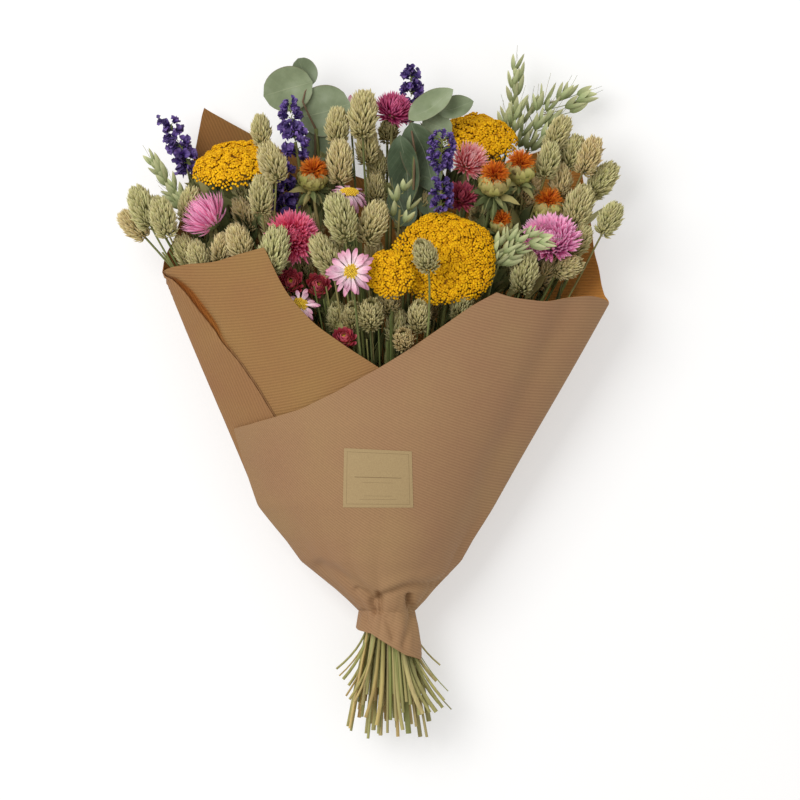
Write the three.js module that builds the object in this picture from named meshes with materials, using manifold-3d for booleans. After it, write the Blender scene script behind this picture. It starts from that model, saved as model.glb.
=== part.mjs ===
// A dried flower bouquet in ribbed kraft paper, lying on its back.
// Millimetres. +Y runs from the cut stems to the flowers, +Z is up and away from the surface
// that the bouquet lies on, and the origin is under the middle of the whole, on that surface.
import * as THREE from "three";
import { mergeVertices } from "three/addons/utils/BufferGeometryUtils.js";
import Module from "manifold-3d";

const wasm = await Module();
wasm.setup();

// Driving dimensions
const gap = 0.35; // between neighbours that touch
const tieY = -171; // where the stems are tied
const stemEndY = -274; // the longest cut stem
const shortestStemCut = 38; // how much shorter the shortest is
const tieCentre = { x: 13.8, z: 44 };
const bundleRadius = 17.2; // of the stems drawn together in the tie
const tieCord = 1; // radius of the raffia round the stems
const paper = 0.9; // thickness of the paper solid
const lapGap = 2.6; // between the inner and the outer turn of paper
const paperMargin = 1.2; // flowers keep this far inside the paper
const edgeMargin = 2; // and this far past its front edges
const fanSpread = { x: 2.5, z: 1.9 }; // how far the stems splay below the tie
const fanSink = 7; // and how far they come down towards the surface

// The paper cone, level by level: y, left edge, right edge, lowest z, side z, highest z
const coneLevels = [
  [-212, -16.5, 44, 17, 43, 69],
  [-190, -13, 40.6, 19, 44, 68],
  [-171, -9.6, 37.2, 20.6, 44, 67.4],
  [-162, -18.4, 45.6, 17, 46, 73],
  [-153, -28, 52.8, 12, 47, 79],
  [-130, -55.2, 73.6, 4, 50, 92],
  [-113, -66.7, 82.4, 1.5, 52, 99],
  [-85, -89.2, 98.7, 0, 54, 107],
  [-24, -114.4, 132.8, 0, 60, 122],
  [76, -155.2, 188.8, 0, 68, 140],
  [101, -165.6, 203.2, 0, 70, 143],
  [233, -219, 276.8, 0, 84, 165],
];
// The sheet's upper edge: wrap angle in degrees from the right side over the front, and y
const upperEdge = [
  [92, 23], [102, 39], [112, 58], [118, 78], [121.5, 94], [123, 119], [140, 108], [162, 105.5],
  [180, 101.6], [201, 127], [216, 180], [230, 232], [244, 202], [266, 173], [288, 186],
  [306, 209.6],
  [314, 164], [325, 118], [345, 92], [360, 76.5], [372, 80], [386, 82], [397, 78.5], [405, 76],
  [417, 79], [422, 83], [428, 73], [433, 61], [439, 48], [444, 37.6], [452, 24], [466, 5], [480, -9],
  [494, -16], [508, -21], [522, -24],
];
// The lower edge below the tie, with the turned-over corner at the front right
const lowerEdge = [
  [92, -182], [180, -183], [270, -186], [340, -196], [383, -210.5], [421, -206], [479, -189],
  [522, -184],
];
const outerEdgeTuck = 26; // degrees that the front flap's free edge wraps on towards the tie
const tuckFrom = 480;
const cornerY = 101; // the level of the paper's left corner
// The section is round at the tie and opens within `flareLength` to a lens: a high power keeps
// its sides sharp, and a low fullness makes its front or back flat
const sidePower = 2.2;
const frontFullness = 0.8;
const backFullness = 0.7;
const backPress = 1.12; // the back's drop before the surface stops it
const flareLength = 40;
const round = { power: 2, fullness: 0.5 };
// The outer turn leaves the inner one between these wrap angles
const lapFrom = 350;
const lapTo = 430;

// Interpolates the columns of a table at x by straight lines
function keyed(table, x, column = 1) {
  const last = table.length - 1;
  if (x <= table[0][0]) return table[0][column];
  if (x >= table[last][0]) return table[last][column];
  const i = table.findIndex((row) => row[0] >= x);
  const [a, b] = [table[i - 1], table[i]];
  return a[column] + ((b[column] - a[column]) * (x - a[0])) / (b[0] - a[0]);
}

const smoothStep = (x) => {
  const t = Math.min(1, Math.max(0, x));
  return t * t * (3 - 2 * t);
};

const radians = (degrees) => (degrees * Math.PI) / 180;
const degrees = (angle) => (angle * 180) / Math.PI;
const yAxis = new THREE.Vector3(0, 1, 0);
const zAxis = new THREE.Vector3(0, 0, 1);
const clamp = (x, low, high) => Math.min(high, Math.max(low, x));
const mix = (a, b, t) => a + (b - a) * t;

// The cone's level at a height
function levelAt(y) {
  const [left, right, low, side, high] = [1, 2, 3, 4, 5].map((k) => keyed(coneLevels, y, k));
  return { centre: (left + right) / 2, half: (right - left) / 2, low, side, high };
}

// A point of the paper cone at a wrap angle and a height, moved out from the sheet by `out`
function conePoint(wrap, y, out = 0) {
  const inset = out - lapGap * (1 - smoothStep((wrap - lapFrom) / (lapTo - lapFrom)));
  const { centre, half, low, side, high } = levelAt(y);
  const across = Math.cos(radians(wrap));
  const flare = smoothStep((y - tieY) / flareLength);
  const swell = 1 - Math.abs(across) ** mix(round.power, sidePower, flare);
  const rise = (high - side + inset) * swell ** mix(round.fullness, frontFullness, flare);
  const drop = (side - low + inset) * swell ** mix(round.fullness, backFullness, flare) * backPress;
  const inFront = Math.sin(radians(wrap)) >= 0;
  const z = inFront ? side + rise : Math.max(side - drop, low + paper / 2 - out);
  return new THREE.Vector3(centre + (half + inset) * across, y, z);
}

// The paper in front of a place and behind it; in front only where the sheet reaches up that far
function paperAt(x, y) {
  const { centre, half } = levelAt(y);
  const wrap = degrees(Math.acos(clamp((x - centre) / (half - lapGap), -0.999, 0.999)));
  const reaches = (angle) => y < keyed(upperEdge, angle) + edgeMargin;
  let front = Infinity;
  if (wrap > upperEdge[0][0] && reaches(wrap)) front = conePoint(wrap, y).z;
  else if (reaches(wrap + 360)) front = conePoint(wrap + 360, y).z - lapGap / 2;
  return { front, back: reaches(360 - wrap) ? conePoint(360 - wrap, y).z : -Infinity };
}

// Closes two grids of points, an outer and an inner skin, into one solid sheet
function sheetSolid(outer, inner) {
  const rows = outer.length;
  const columns = outer[0].length;
  const positions = [...outer.flat(), ...inner.flat()].flatMap((p) => [p.x, p.y, p.z]);
  const at = (skin, i, j) => skin * rows * columns + i * columns + j;
  const index = [];
  const quad = (a, b, c, d) => index.push(a, b, c, a, c, d);
  for (let i = 0; i < rows - 1; i++)
    for (let j = 0; j < columns - 1; j++) {
      quad(at(0, i, j), at(0, i, j + 1), at(0, i + 1, j + 1), at(0, i + 1, j));
      quad(at(1, i, j), at(1, i + 1, j), at(1, i + 1, j + 1), at(1, i, j + 1));
    }
  for (let j = 0; j < columns - 1; j++) {
    quad(at(0, 0, j), at(1, 0, j), at(1, 0, j + 1), at(0, 0, j + 1));
    quad(at(0, rows - 1, j), at(0, rows - 1, j + 1), at(1, rows - 1, j + 1), at(1, rows - 1, j));
  }
  const end = columns - 1;
  for (let i = 0; i < rows - 1; i++) {
    quad(at(0, i, 0), at(0, i + 1, 0), at(1, i + 1, 0), at(1, i, 0));
    quad(at(0, i, end), at(1, i, end), at(1, i + 1, end), at(0, i + 1, end));
  }
  const geometry = new THREE.BufferGeometry();
  geometry.setAttribute("position", new THREE.Float32BufferAttribute(positions, 3));
  geometry.setIndex(index);
  return solidOf(geometry);
}

// A closed geometry as a manifold solid, facing out
function solidOf(geometry) {
  const bare = geometry.clone();
  bare.deleteAttribute("normal");
  bare.deleteAttribute("uv");
  const merged = mergeVertices(bare, 1e-4);
  const vertProperties = new Float32Array(merged.attributes.position.array);
  const build = (triVerts) =>
    new wasm.Manifold(new wasm.Mesh({ numProp: 3, vertProperties, triVerts }));
  const triVerts = new Uint32Array(merged.index.array);
  const solid = build(triVerts);
  if (solid.volume() > 0) return solid;
  return build(triVerts.reverse());
}

function geometryOf(solid) {
  const mesh = solid.getMesh();
  const geometry = new THREE.BufferGeometry();
  geometry.setAttribute("position", new THREE.BufferAttribute(mesh.vertProperties, 3));
  geometry.setIndex(new THREE.BufferAttribute(mesh.triVerts, 1));
  geometry.computeVertexNormals();
  return geometry;
}

// The flowers. Each row: kind, x and y of the head's middle, the way it faces (right, up along
// the bouquet, out of the front), its size against its kind, and how far in front it stands.
const plants = [
  ["canary_grass", -190, 138, -0.7, 0.7, 0.1, 0.85, 1],
  ["canary_grass", -182, 152, -0.35, 0.9, 0.15, 1.05, 8],
  ["canary_grass", -165, 143, -0.25, 0.9, 0.3, 1, 5],
  ["canary_grass", -146, 115, -0.4, 0.85, 0.3, 0.95, 7],
  ["canary_grass", -104, 122, -0.3, 0.9, 0.3, 0.95, 14],
  ["canary_grass", -76, 117, 0.15, 0.95, 0.3, 1.15, 24],
  ["canary_grass", -87, 161, 0, 1, 0.2, 0.95, 0],
  ["canary_grass", -78, 186, -0.35, 0.9, 0.3, 1, 24],
  ["canary_grass", -36, 113, -0.45, 0.85, 0.3, 1.05, 14],
  ["canary_grass", -24, 142, -0.25, 0.9, 0.35, 1.2, 26],
  ["canary_grass", -25, 188, 0, 1, 0.15, 1.05, 6],
  ["canary_grass", -6, 226, 0.05, 1, 0.2, 1.15, 16],
  ["canary_grass", 2, 138, 0.3, 0.9, 0.35, 1.1, 10],
  ["canary_grass", 43, 111, -0.25, 0.7, 0.65, 0.9, 20],
  ["canary_grass", 0, 66, 0.05, 0.6, 0.8, 0.95, 6],
  ["canary_grass", 38, 64, 0.05, 0.75, 0.65, 0.85, 8],
  ["canary_grass", 26, 46, 0, 0.45, 0.9, 0.75, 8],
  ["canary_grass", 122, 100, 0.15, 0.9, 0.4, 1.05, 8],
  ["canary_grass", 191, 143, 0.45, 0.85, 0.1, 0.85, 0],
  ["canary_grass", 186, 175, 0.6, 0.75, 0.15, 1, 0],
  ["canary_grass", 175, 194, 0.35, 0.9, 0.15, 0.95, 12],
  ["canary_grass", 150, 212, 0.4, 0.9, 0.1, 0.9, 0],
  ["canary_grass", 166, 152, 0.3, 0.9, 0.2, 1.15, 6],
  ["yarrow", -108, 190, -0.2, 0.72, 0.65, 1, 4],
  ["yarrow", 87, 211, 0.25, 0.75, 0.6, 0.82, 0],
  ["yarrow", 65, 108, 0.08, 0.25, 0.95, 1, 6],
  ["yarrow", 15, 98, -0.2, 0.2, 0.95, 0.55, 4],
  ["strawflower", -129, 142, -0.5, 0.4, 0.75, 0.95, 6],
  ["strawflower", -62, 128, 0.1, 0.25, 0.95, 1.05, 0],
  ["strawflower", -64, 92, 0, 0.3, 0.95, 0.62, 0],
  ["strawflower", -42, 90, 0.1, 0.3, 0.95, 0.55, -16],
  ["strawflower", 18, 230, 0.25, 0.65, 0.7, 0.8, 0],
  ["strawflower", 143, 126, -0.1, 0.35, 0.93, 1.18, 6],
  ["strawflower", 72, 160, 0.1, 0.4, 0.9, 0.7, -10],
  ["strawflower", 78, 188, 0.3, 0.4, 0.85, 0.75, 4],
  ["strawflower", -21, 48, 0, 0.45, 0.9, 0.52, -8],
  ["paper_daisy", -17, 163, -0.1, 0.75, 0.65, 0.95, 0],
  ["paper_daisy", -15, 99, -0.15, 0.2, 0.97, 1, 10],
  ["paper_daisy", -56, 74, 0.15, 0.55, 0.8, 0.85, 0],
  ["paper_daisy", -18, 231, -0.3, 0.5, 0.8, 0.75, -4],
  ["larkspur", -153, 202, -0.43, 0.88, 0.15, 1.1, 0],
  ["larkspur", -62, 214, -0.15, 0.97, 0.15, 0.95, 4],
  ["larkspur", -69, 166, 0, 0.98, 0.25, 0.95, 8],
  ["larkspur", 32, 243, 0, 1, 0.1, 0.9, 0],
  ["larkspur", 56, 182, 0, 0.98, 0.25, 1.25, 8],
  ["safflower", 98, 174, 0.05, 0.8, 0.6, 1, 14],
  ["safflower", 119, 184, 0.1, 0.9, 0.4, 0.95, 4],
  ["safflower", 142, 154, 0.15, 0.9, 0.4, 0.95, 0],
  ["safflower", 104, 140, 0, 0.75, 0.65, 0.7, -8],
  ["safflower", -46, 178, 0.1, 0.8, 0.6, 0.95, -6],
  ["oat", 114, 240, 0.06, 1, 0.05, 1.1, 0],
  ["oat", 140, 232, 0.42, 0.9, 0.1, 1.2, 0],
  ["oat", 114, 124, 0.55, 0.65, 0.5, 0.9, 18],
  ["oat", -164, 173, -0.6, 0.8, 0.1, 0.8, 0],
  ["oat", 24, 158, 0.1, 0.9, 0.3, 0.8, 14],
  ["eucalyptus", -46, 226, -0.25, 0.95, 0.1, 1, -4, 0],
  ["eucalyptus", 40, 206, 0.12, 0.98, 0.1, 1, -6, 1],
];
// The leaves of each eucalyptus sprig: right and up from its middle, and the radius
const sprigs = [
  [[-20, 19, 19], [-7, 36, 10], [9, 4, 21], [3, -23, 12]],
  [[7, 27, 13], [30, 29, 14], [-13, -20, 18], [5, -32, 12], [-15, -52, 11]],
];
// How high the front heads stand, by y, and the share of it that the outermost heads lose
const frontSurface = [
  [40, 126], [75, 124], [110, 118], [150, 106], [190, 88], [230, 68], [270, 54],
];
const widestX = 200;
const sideDroop = 0.4;

const stemRadius = {
  canary_grass: 1.35, yarrow: 2.4, strawflower: 1.8, paper_daisy: 1.3, larkspur: 1.9,
  safflower: 2.1, oat: 1.5, eucalyptus: 2.3,
};
const headColour = {
  canary_grass: 0xb9b184, yarrow: 0xe0a216, strawflower: 0xd9598c, paper_daisy: 0xe7a9c2,
  larkspur: 0x3a2a78, safflower: 0xc8601e, oat: 0x8f9a68, eucalyptus: 0x7f9a7e,
};

// A kind's head as one lump, or two along the way it faces: middle, half length, radius
const lumps = {
  canary_grass: [[0, 19, 9.5]],
  yarrow: [[0, 10, 35]],
  strawflower: [[0, 9, 19]],
  paper_daisy: [[0, 5, 18]],
  larkspur: [[0, 27, 10]],
  safflower: [[-5, 11, 10.5], [8, 8, 9]],
};
const flatDepth = { yarrow: 10, paper_daisy: 5 }; // a small one is as deep as a large one
// Oat spikelets hang on alternate sides of the top of the stem: along, sideways
const oatSpikelets = [[-22, 7], [-10, -7], [2, 7], [14, -6], [26, 0]];
const spikelet = { half: 10, radius: 3, splay: 0.25 };
const leaf = { half: 1.4, stagger: 2, tilt: 0.15, cup: 0.012 };

// A direction, and the one across it to the left
function axesOf(direction) {
  const along = direction.clone().normalize();
  const across = zAxis.clone().cross(along).normalize();
  return { along, across };
}

// Every ellipsoid of a head, with its middle from the head's, its axis, half length and radius
function shapesOf(kind, facing, size, sprig) {
  const { along, across } = axesOf(facing);
  const place = (a, b) => new THREE.Vector3().addScaledVector(along, a).addScaledVector(across, b);
  if (kind === "oat")
    return oatSpikelets.map(([a, b]) => ({
      middle: place(a * size, b * size),
      axis: place(1, Math.sign(b) * spikelet.splay).normalize(),
      half: spikelet.half * size,
      radius: spikelet.radius * size,
    }));
  if (kind === "eucalyptus")
    return sprigs[sprig].map(([right, ahead, radius], k) => ({
      middle: new THREE.Vector3(right, ahead, k % 2 ? -leaf.stagger : leaf.stagger),
      axis: new THREE.Vector3(-right * leaf.cup, leaf.tilt, 1).normalize(),
      half: leaf.half,
      radius,
    }));
  return lumps[kind].map(([a, half, radius]) => ({
    middle: place(a * size, 0),
    axis: along,
    half: flatDepth[kind] ?? half * size,
    radius: radius * size,
  }));
}

const stemPoints = 9; // from the cut end, through the tie, to the neck under the head
const neckShare = 0.8; // of the head's depth below its middle

// Stems and heads as they start, before they are settled among each other
function startingPlants() {
  return plants.map(([kind, x, y, fx, fy, fz, size, lift, sprig], order) => {
    const facing = new THREE.Vector3(fx, fy, fz).normalize();
    const droop = 1 - sideDroop * Math.abs(x / widestX) ** 1.5;
    const head = new THREE.Vector3(x, y, keyed(frontSurface, y) * droop + lift);
    const shapes = shapesOf(kind, facing, size, sprig);
    const depth = Math.max(...shapes.map((shape) => shape.half - shape.middle.dot(facing)));
    return { kind, head, facing, size, shapes, depth, radius: stemRadius[kind], order };
  });
}

// Packs the stems in the tie: each starts on the side of its own head, and they are drawn
// together until they touch and all lie within the bundle
const start = { width: 0.13, depth: 0.37, middle: 84, scatter: 1.1 };
const packing = { rounds: 1500, draw: 0.03, drawUntil: 900, ringFrom: 500, passes: 5 };
function packTie(all) {
  for (const p of all) {
    const deep = (p.head.z - start.middle) * start.depth + start.scatter * Math.sin(p.order * 2.4);
    p.tie = new THREE.Vector2((p.head.x - tieCentre.x) * start.width, deep);
  }
  for (let k = 0; k < packing.rounds; k++) {
    const pull = packing.draw * Math.max(0, 1 - k / packing.drawUntil) ** 2;
    for (const p of all) p.tie.multiplyScalar(1 - pull);
    for (let pass = 0; pass < packing.passes; pass++) partStems(all, k > packing.ringFrom);
  }
}

function partStems(all, inRing) {
  all.forEach((p, i) => {
    const most = bundleRadius - p.radius;
    if (inRing && p.tie.length() > most) p.tie.setLength(most);
    for (const q of all.slice(i + 1)) {
      const apart = p.tie.clone().sub(q.tie);
      const short = p.radius + q.radius + gap - apart.length();
      if (short <= 0) continue;
      apart.setLength(short / 2);
      p.tie.add(apart);
      q.tie.sub(apart);
    }
  });
}

// The line of each stem: cut end, tie, and points fanning out to the neck under the head
function layStems(all) {
  for (const p of all) {
    const scatter = 0.3 + 0.7 * Math.abs(Math.sin(p.order));
    const shorter = Math.abs(Math.sin(p.order * 5.1 + 1)) * scatter;
    const cut = stemEndY + shortestStemCut * shorter;
    const tie = new THREE.Vector3(tieCentre.x + p.tie.x, tieY, tieCentre.z + p.tie.y);
    const share = (tieY - cut) / (tieY - stemEndY);
    const apart = { x: p.tie.x * (fanSpread.x - 1), z: p.tie.y * (fanSpread.z - 1) - fanSink };
    const end = new THREE.Vector3(tie.x + apart.x * share, cut, tie.z + apart.z * share);
    const neck = p.head.clone().addScaledVector(p.facing, -p.depth * neckShare);
    p.line = [end, tie];
    for (let k = 1; k < stemPoints - 2; k++) p.line.push(tie.clone().lerp(neck, k / (stemPoints - 2)));
    p.line.push(neck);
    p.line.forEach((point, k) => (point.fixed = k < 2));
  }
}

// How far an ellipsoid reaches in a direction
const reachOf = (shape, d) => {
  const along = shape.axis.dot(d);
  return Math.sqrt((shape.half * along) ** 2 + shape.radius ** 2 * Math.max(0, 1 - along * along));
};

function nearestOnSegment(a, b, p) {
  const ab = b.clone().sub(a);
  const t = Math.min(1, Math.max(0, p.clone().sub(a).dot(ab) / ab.lengthSq()));
  return { t, point: a.clone().addScaledVector(ab, t) };
}

// The nearest points of two segments
function nearestOfSegments(a, b, c, d) {
  const [u, v, w] = [b.clone().sub(a), d.clone().sub(c), a.clone().sub(c)];
  const [uu, uv, vv, uw, vw] = [u.dot(u), u.dot(v), v.dot(v), u.dot(w), v.dot(w)];
  const bottom = uu * vv - uv * uv;
  let s = bottom < 1e-9 ? 0 : (uv * vw - vv * uw) / bottom;
  s = Math.min(1, Math.max(0, s));
  let t = (uv * s + vw) / vv;
  if (t < 0 || t > 1) {
    t = Math.min(1, Math.max(0, t));
    s = Math.min(1, Math.max(0, (uv * t - uw) / uu));
  }
  return { s, t, apart: w.addScaledVector(u, s).addScaledVector(v, -t) };
}

function nudge(point, by, share = 1) {
  if (!point.fixed) point.addScaledVector(by, share);
}

// A head moves only in depth, and its neck with it
function sink(plant, by) {
  plant.head.z -= by;
  plant.line.at(-1).z -= by;
}

// Keeps a stem between the paper in front and the paper behind, at its points and between them
function keepStemInPaper(plant) {
  const margin = plant.radius + paperMargin;
  for (let k = 1; k < plant.line.length - 1; k++)
    for (let share = 0; share < 0.99; share += 0.1) {
      const [a, b] = [plant.line[k], plant.line[k + 1]];
      const at = a.clone().lerp(b, share);
      const wanted = at.clone();
      const { centre, half } = levelAt(at.y);
      const room = (half - lapGap - margin) * 0.97;
      if (at.y < cornerY) wanted.x = clamp(at.x, centre - room, centre + room);
      const { front, back } = paperAt(wanted.x, at.y);
      wanted.z = Math.max(back + margin, Math.min(front - margin, at.z));
      const move = wanted.sub(at);
      nudge(a, move, 1 - share);
      if (b === plant.line.at(-1)) sink(plant, -move.z * share);
      else nudge(b, move, share);
    }
}

// Directions out of the front, over which a head is tried against the paper
const lookOuts = [new THREE.Vector3(0, 0, 1)];
for (const tilt of [0.5, 1.1])
  for (let turn = 0; turn < 8; turn++) {
    const look = new THREE.Vector3(Math.sin(tilt), 0, Math.cos(tilt));
    lookOuts.push(look.applyAxisAngle(zAxis, (turn * Math.PI) / 4));
  }

// The point of an ellipsoid's skin that faces a direction
function skinPoint(shape, d) {
  const along = shape.axis.dot(d);
  const across = d.clone().addScaledVector(shape.axis, -along).multiplyScalar(shape.radius ** 2);
  return across.addScaledVector(shape.axis, along * shape.half ** 2).divideScalar(reachOf(shape, d));
}

// Moves a head in depth until it is behind the flaps that cover it and in front of the back
const largestMove = 2;
function keepHeadInPaper(plant) {
  let [down, up] = [0, 0];
  for (const shape of plant.shapes) {
    const at = plant.head.clone().add(shape.middle);
    for (const look of lookOuts) {
      const skin = skinPoint(shape, look);
      const top = at.clone().add(skin);
      const under = at.clone().sub(skin);
      down = Math.max(down, top.z + paperMargin - paperAt(top.x, top.y).front);
      up = Math.max(up, paperAt(under.x, under.y).back + paperMargin - under.z);
    }
  }
  sink(plant, Math.min(largestMove, down) - Math.min(largestMove, up));
}

const middleOf = (plant, shape) => plant.head.clone().add(shape.middle);
const farthestReach = 45; // no ellipsoid of a head is longer than this from its middle

// Pushes two overlapping heads apart in depth
function partHeads(p, q) {
  for (const s of p.shapes)
    for (const t of q.shapes) {
      const apart = middleOf(p, s).sub(middleOf(q, t));
      const distance = apart.length();
      if (distance > 2 * farthestReach) continue;
      apart.normalize();
      const short = reachOf(s, apart) + reachOf(t, apart) + gap * 2 - distance;
      if (short <= 0) continue;
      const step = Math.min(0.8, short * 0.3) * Math.sign(apart.z || 1);
      sink(p, -step);
      sink(q, step);
    }
}

// Pushes two stretches of stem apart
function partStretches(m, n) {
  if (Math.min(m.b.y, n.b.y) < Math.max(m.a.y, n.a.y) - 4) return;
  const need = m.plant.radius + n.plant.radius + gap * 1.6;
  const { s, t, apart } = nearestOfSegments(m.a, m.b, n.a, n.b);
  const distance = apart.length() || 1e-3;
  if (distance >= need) return;
  apart.setLength((need - distance) / 2);
  nudge(m.a, apart, 1 - s);
  nudge(m.b, apart, s);
  nudge(n.a, apart, t - 1);
  nudge(n.b, apart, -t);
}

// Pushes a stretch of stem off another plant's head
function partFromHead(m, plant) {
  for (const shape of plant.shapes) {
    const { t, point } = nearestOnSegment(m.a, m.b, middleOf(plant, shape));
    const apart = point.sub(middleOf(plant, shape));
    const distance = apart.length();
    if (distance > farthestReach) continue;
    apart.normalize();
    const short = reachOf(shape, apart) + m.plant.radius + gap * 2 - distance;
    if (short <= 0) continue;
    const step = Math.min(1.5, short * 0.6);
    nudge(m.a, apart, step * (1 - t));
    if (m.b !== m.plant.line.at(-1)) nudge(m.b, apart, step * t);
    else {
      const deep = (step / 2) * t * Math.sign(apart.z);
      sink(m.plant, -deep);
      sink(plant, deep);
    }
  }
}

// Settles the heads by depth and the stems by a little in every direction, until none overlap
const settling = { rounds: 260, easeUntil: 200, straighten: 0.06, hold: 0.01 };
function settle(all) {
  const stretches = all.flatMap((plant) =>
    plant.line.slice(1).map((b, k) => ({ plant, a: plant.line[k], b })),
  );
  for (let k = 0; k < settling.rounds; k++) {
    all.forEach((p, i) => all.slice(i + 1).forEach((q) => partHeads(p, q)));
    stretches.forEach((m, i) => {
      for (const n of stretches.slice(i + 1)) if (n.plant !== m.plant) partStretches(m, n);
      for (const plant of all) if (plant !== m.plant) partFromHead(m, plant);
    });
    const ease = k < settling.easeUntil ? settling.straighten : settling.hold;
    for (const { line } of all)
      for (let i = 2; i < line.length - 1; i++)
        line[i].lerp(line[i - 1].clone().lerp(line[i + 1], 0.5), ease);
    all.forEach(keepStemInPaper);
    all.forEach(keepHeadInPaper);
  }
}

// The profile of a kind's head from its base to its tip: radius and height against the ellipsoid's
const profileOf = {
  canary_grass: [[0, -1], [0.62, -0.72], [1, -0.2], [0.82, 0.35], [0.42, 0.78], [0, 1]],
  yarrow: [[0, -1], [0.45, -0.62], [0.97, 0], [0.86, 0.45], [0.5, 0.8], [0, 0.98]],
  strawflower: [[0, -1], [0.55, -0.8], [0.97, 0], [0.8, 0.5], [0.4, 0.85], [0, 0.95]],
  paper_daisy: [[0, -1], [0.4, -0.8], [0.98, 0], [0.85, 0.4], [0.35, 0.8], [0, 0.95]],
  larkspur: [[0, -1], [0.6, -0.75], [0.97, -0.1], [0.8, 0.4], [0.4, 0.8], [0, 1]],
  safflower: [[0, -1], [0.75, -0.6], [0.98, 0], [0.8, 0.5], [0.4, 0.85], [0, 1]],
  oat: [[0, -1], [0.9, -0.25], [0.7, 0.4], [0, 1]],
  eucalyptus: [[0, -1], [1, 0], [0, 1]],
};
const sides = {
  canary_grass: 8, yarrow: 14, strawflower: 12, paper_daisy: 12, larkspur: 8, safflower: 10,
  oat: 5, eucalyptus: 12,
};

// One lump of a head: a lathed profile turned to its axis
function lumpSolid(kind, head, shape) {
  const profile = profileOf[kind].map(([r, a]) => new THREE.Vector2(r * shape.radius, a * shape.half));
  const geometry = new THREE.LatheGeometry(profile, sides[kind]);
  const turn = new THREE.Quaternion().setFromUnitVectors(yAxis, shape.axis);
  geometry.applyQuaternion(turn);
  const at = head.clone().add(shape.middle);
  geometry.translate(at.x, at.y, at.z);
  return solidOf(geometry);
}

// A path straight from point to point, with a step of the sweep at each point
class PointPath extends THREE.Curve {
  constructor(points) {
    super();
    this.points = points;
  }
  getPoint(t, target = new THREE.Vector3()) {
    const along = Math.min(t, 1) * (this.points.length - 1);
    const i = Math.min(Math.floor(along), this.points.length - 2);
    return target.lerpVectors(this.points[i], this.points[i + 1], along - i);
  }
  getPointAt(t, target) {
    return this.getPoint(t, target);
  }
  getTangentAt(t, target) {
    return this.getTangent(t, target);
  }
}

// A stem or twig along a line of points
function rodSolid(points, radius, corners = 6) {
  const outline = new THREE.Shape();
  for (let i = 0; i < corners; i++) {
    const angle = (i * 2 * Math.PI) / corners;
    outline[i ? "lineTo" : "moveTo"](radius * Math.cos(angle), radius * Math.sin(angle));
  }
  const sweep = { extrudePath: new PointPath(points), steps: points.length - 1, bevelEnabled: false };
  return solidOf(new THREE.ExtrudeGeometry(outline, sweep));
}

// The whole plant as one grown piece: the stem, its head and the twigs that carry the head
const stemBeyond = { oat: 27, eucalyptus: 30, larkspur: 10 }; // how far a stem runs on past the middle
const twigRadius = 0.9;
function plantSolid({ kind, line, head, facing, size, shapes, depth, radius }) {
  const along = (distance) => head.clone().addScaledVector(facing, distance);
  const branched = kind === "oat" || kind === "eucalyptus";
  const top = along(kind in stemBeyond ? stemBeyond[kind] * size : -depth * 0.4);
  const parts = [rodSolid([...line, top], radius)];
  for (const shape of shapes) {
    parts.push(lumpSolid(kind, head, shape));
    if (!branched) continue;
    const height = shape.middle.dot(facing) - (kind === "oat" ? shape.half / 2 : 0);
    const fork = along(Math.max(height, -depth * neckShare));
    const end = head.clone().add(shape.middle);
    if (fork.distanceTo(end) > 1) parts.push(rodSolid([fork, end], twigRadius, 5));
  }
  return parts.reduce((a, b) => a.add(b));
}

const bouquet = new THREE.Group();

function addNode(name, solid, colour, roughness = 0.8) {
  const material = new THREE.MeshStandardMaterial({ color: colour, roughness, metalness: 0 });
  const mesh = new THREE.Mesh(geometryOf(solid), material);
  mesh.name = name;
  bouquet.add(mesh);
}

// The flowers, numbered within their kind
const settled = startingPlants();
packTie(settled);
layStems(settled);
settle(settled);
const counts = {};
for (const plant of settled) {
  const { kind } = plant;
  counts[kind] = (counts[kind] ?? 0) + 1;
  addNode(`${kind}_${String(counts[kind]).padStart(2, "0")}`, plantSolid(plant), headColour[kind]);
}

// The raffia tie: a closed ring round the packed stems
const tieSides = 6;
const tieRadius = bundleRadius + gap + tieCord;
const tieProfile = [];
for (let i = 0; i <= tieSides; i++) {
  const angle = (i * 2 * Math.PI) / tieSides;
  tieProfile.push(new THREE.Vector2(tieRadius + tieCord * Math.cos(angle), tieCord * Math.sin(angle)));
}
const tieRing = new THREE.LatheGeometry(tieProfile, 28);
tieRing.translate(tieCentre.x, tieY, tieCentre.z);
addNode("stem_tie", solidOf(tieRing), 0xb89a64);

// The kraft paper wrapper: one sheet wound once and a fifth round the flowers. Its rows run from
// the lower edge up to the tie and on to the upper edge, closer together near the tie.
const wrapperColumns = 76;
const tailRows = 2;
const bodyRows = 9;
function wrapperSkin(out) {
  const [from, to] = [upperEdge[0][0], upperEdge.at(-1)[0]];
  return Array.from({ length: tailRows + bodyRows + 1 }, (_, i) =>
    Array.from({ length: wrapperColumns + 1 }, (_, j) => {
      const wrap = mix(from, to, j / wrapperColumns);
      const v = Math.max(0, (i - tailRows) / bodyRows) ** 1.5;
      const inTail = mix(keyed(lowerEdge, wrap), tieY, i / tailRows);
      const y = i < tailRows ? inTail : mix(tieY, keyed(upperEdge, wrap), v);
      const tuck = outerEdgeTuck * (1 - v) * smoothStep((wrap - tuckFrom) / (to - tuckFrom));
      return conePoint(wrap + tuck, y, out);
    }),
  );
}
addNode("kraft_wrapper", sheetSolid(wrapperSkin(paper / 2), wrapperSkin(-paper / 2)), 0xa9825c, 0.75);

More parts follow.
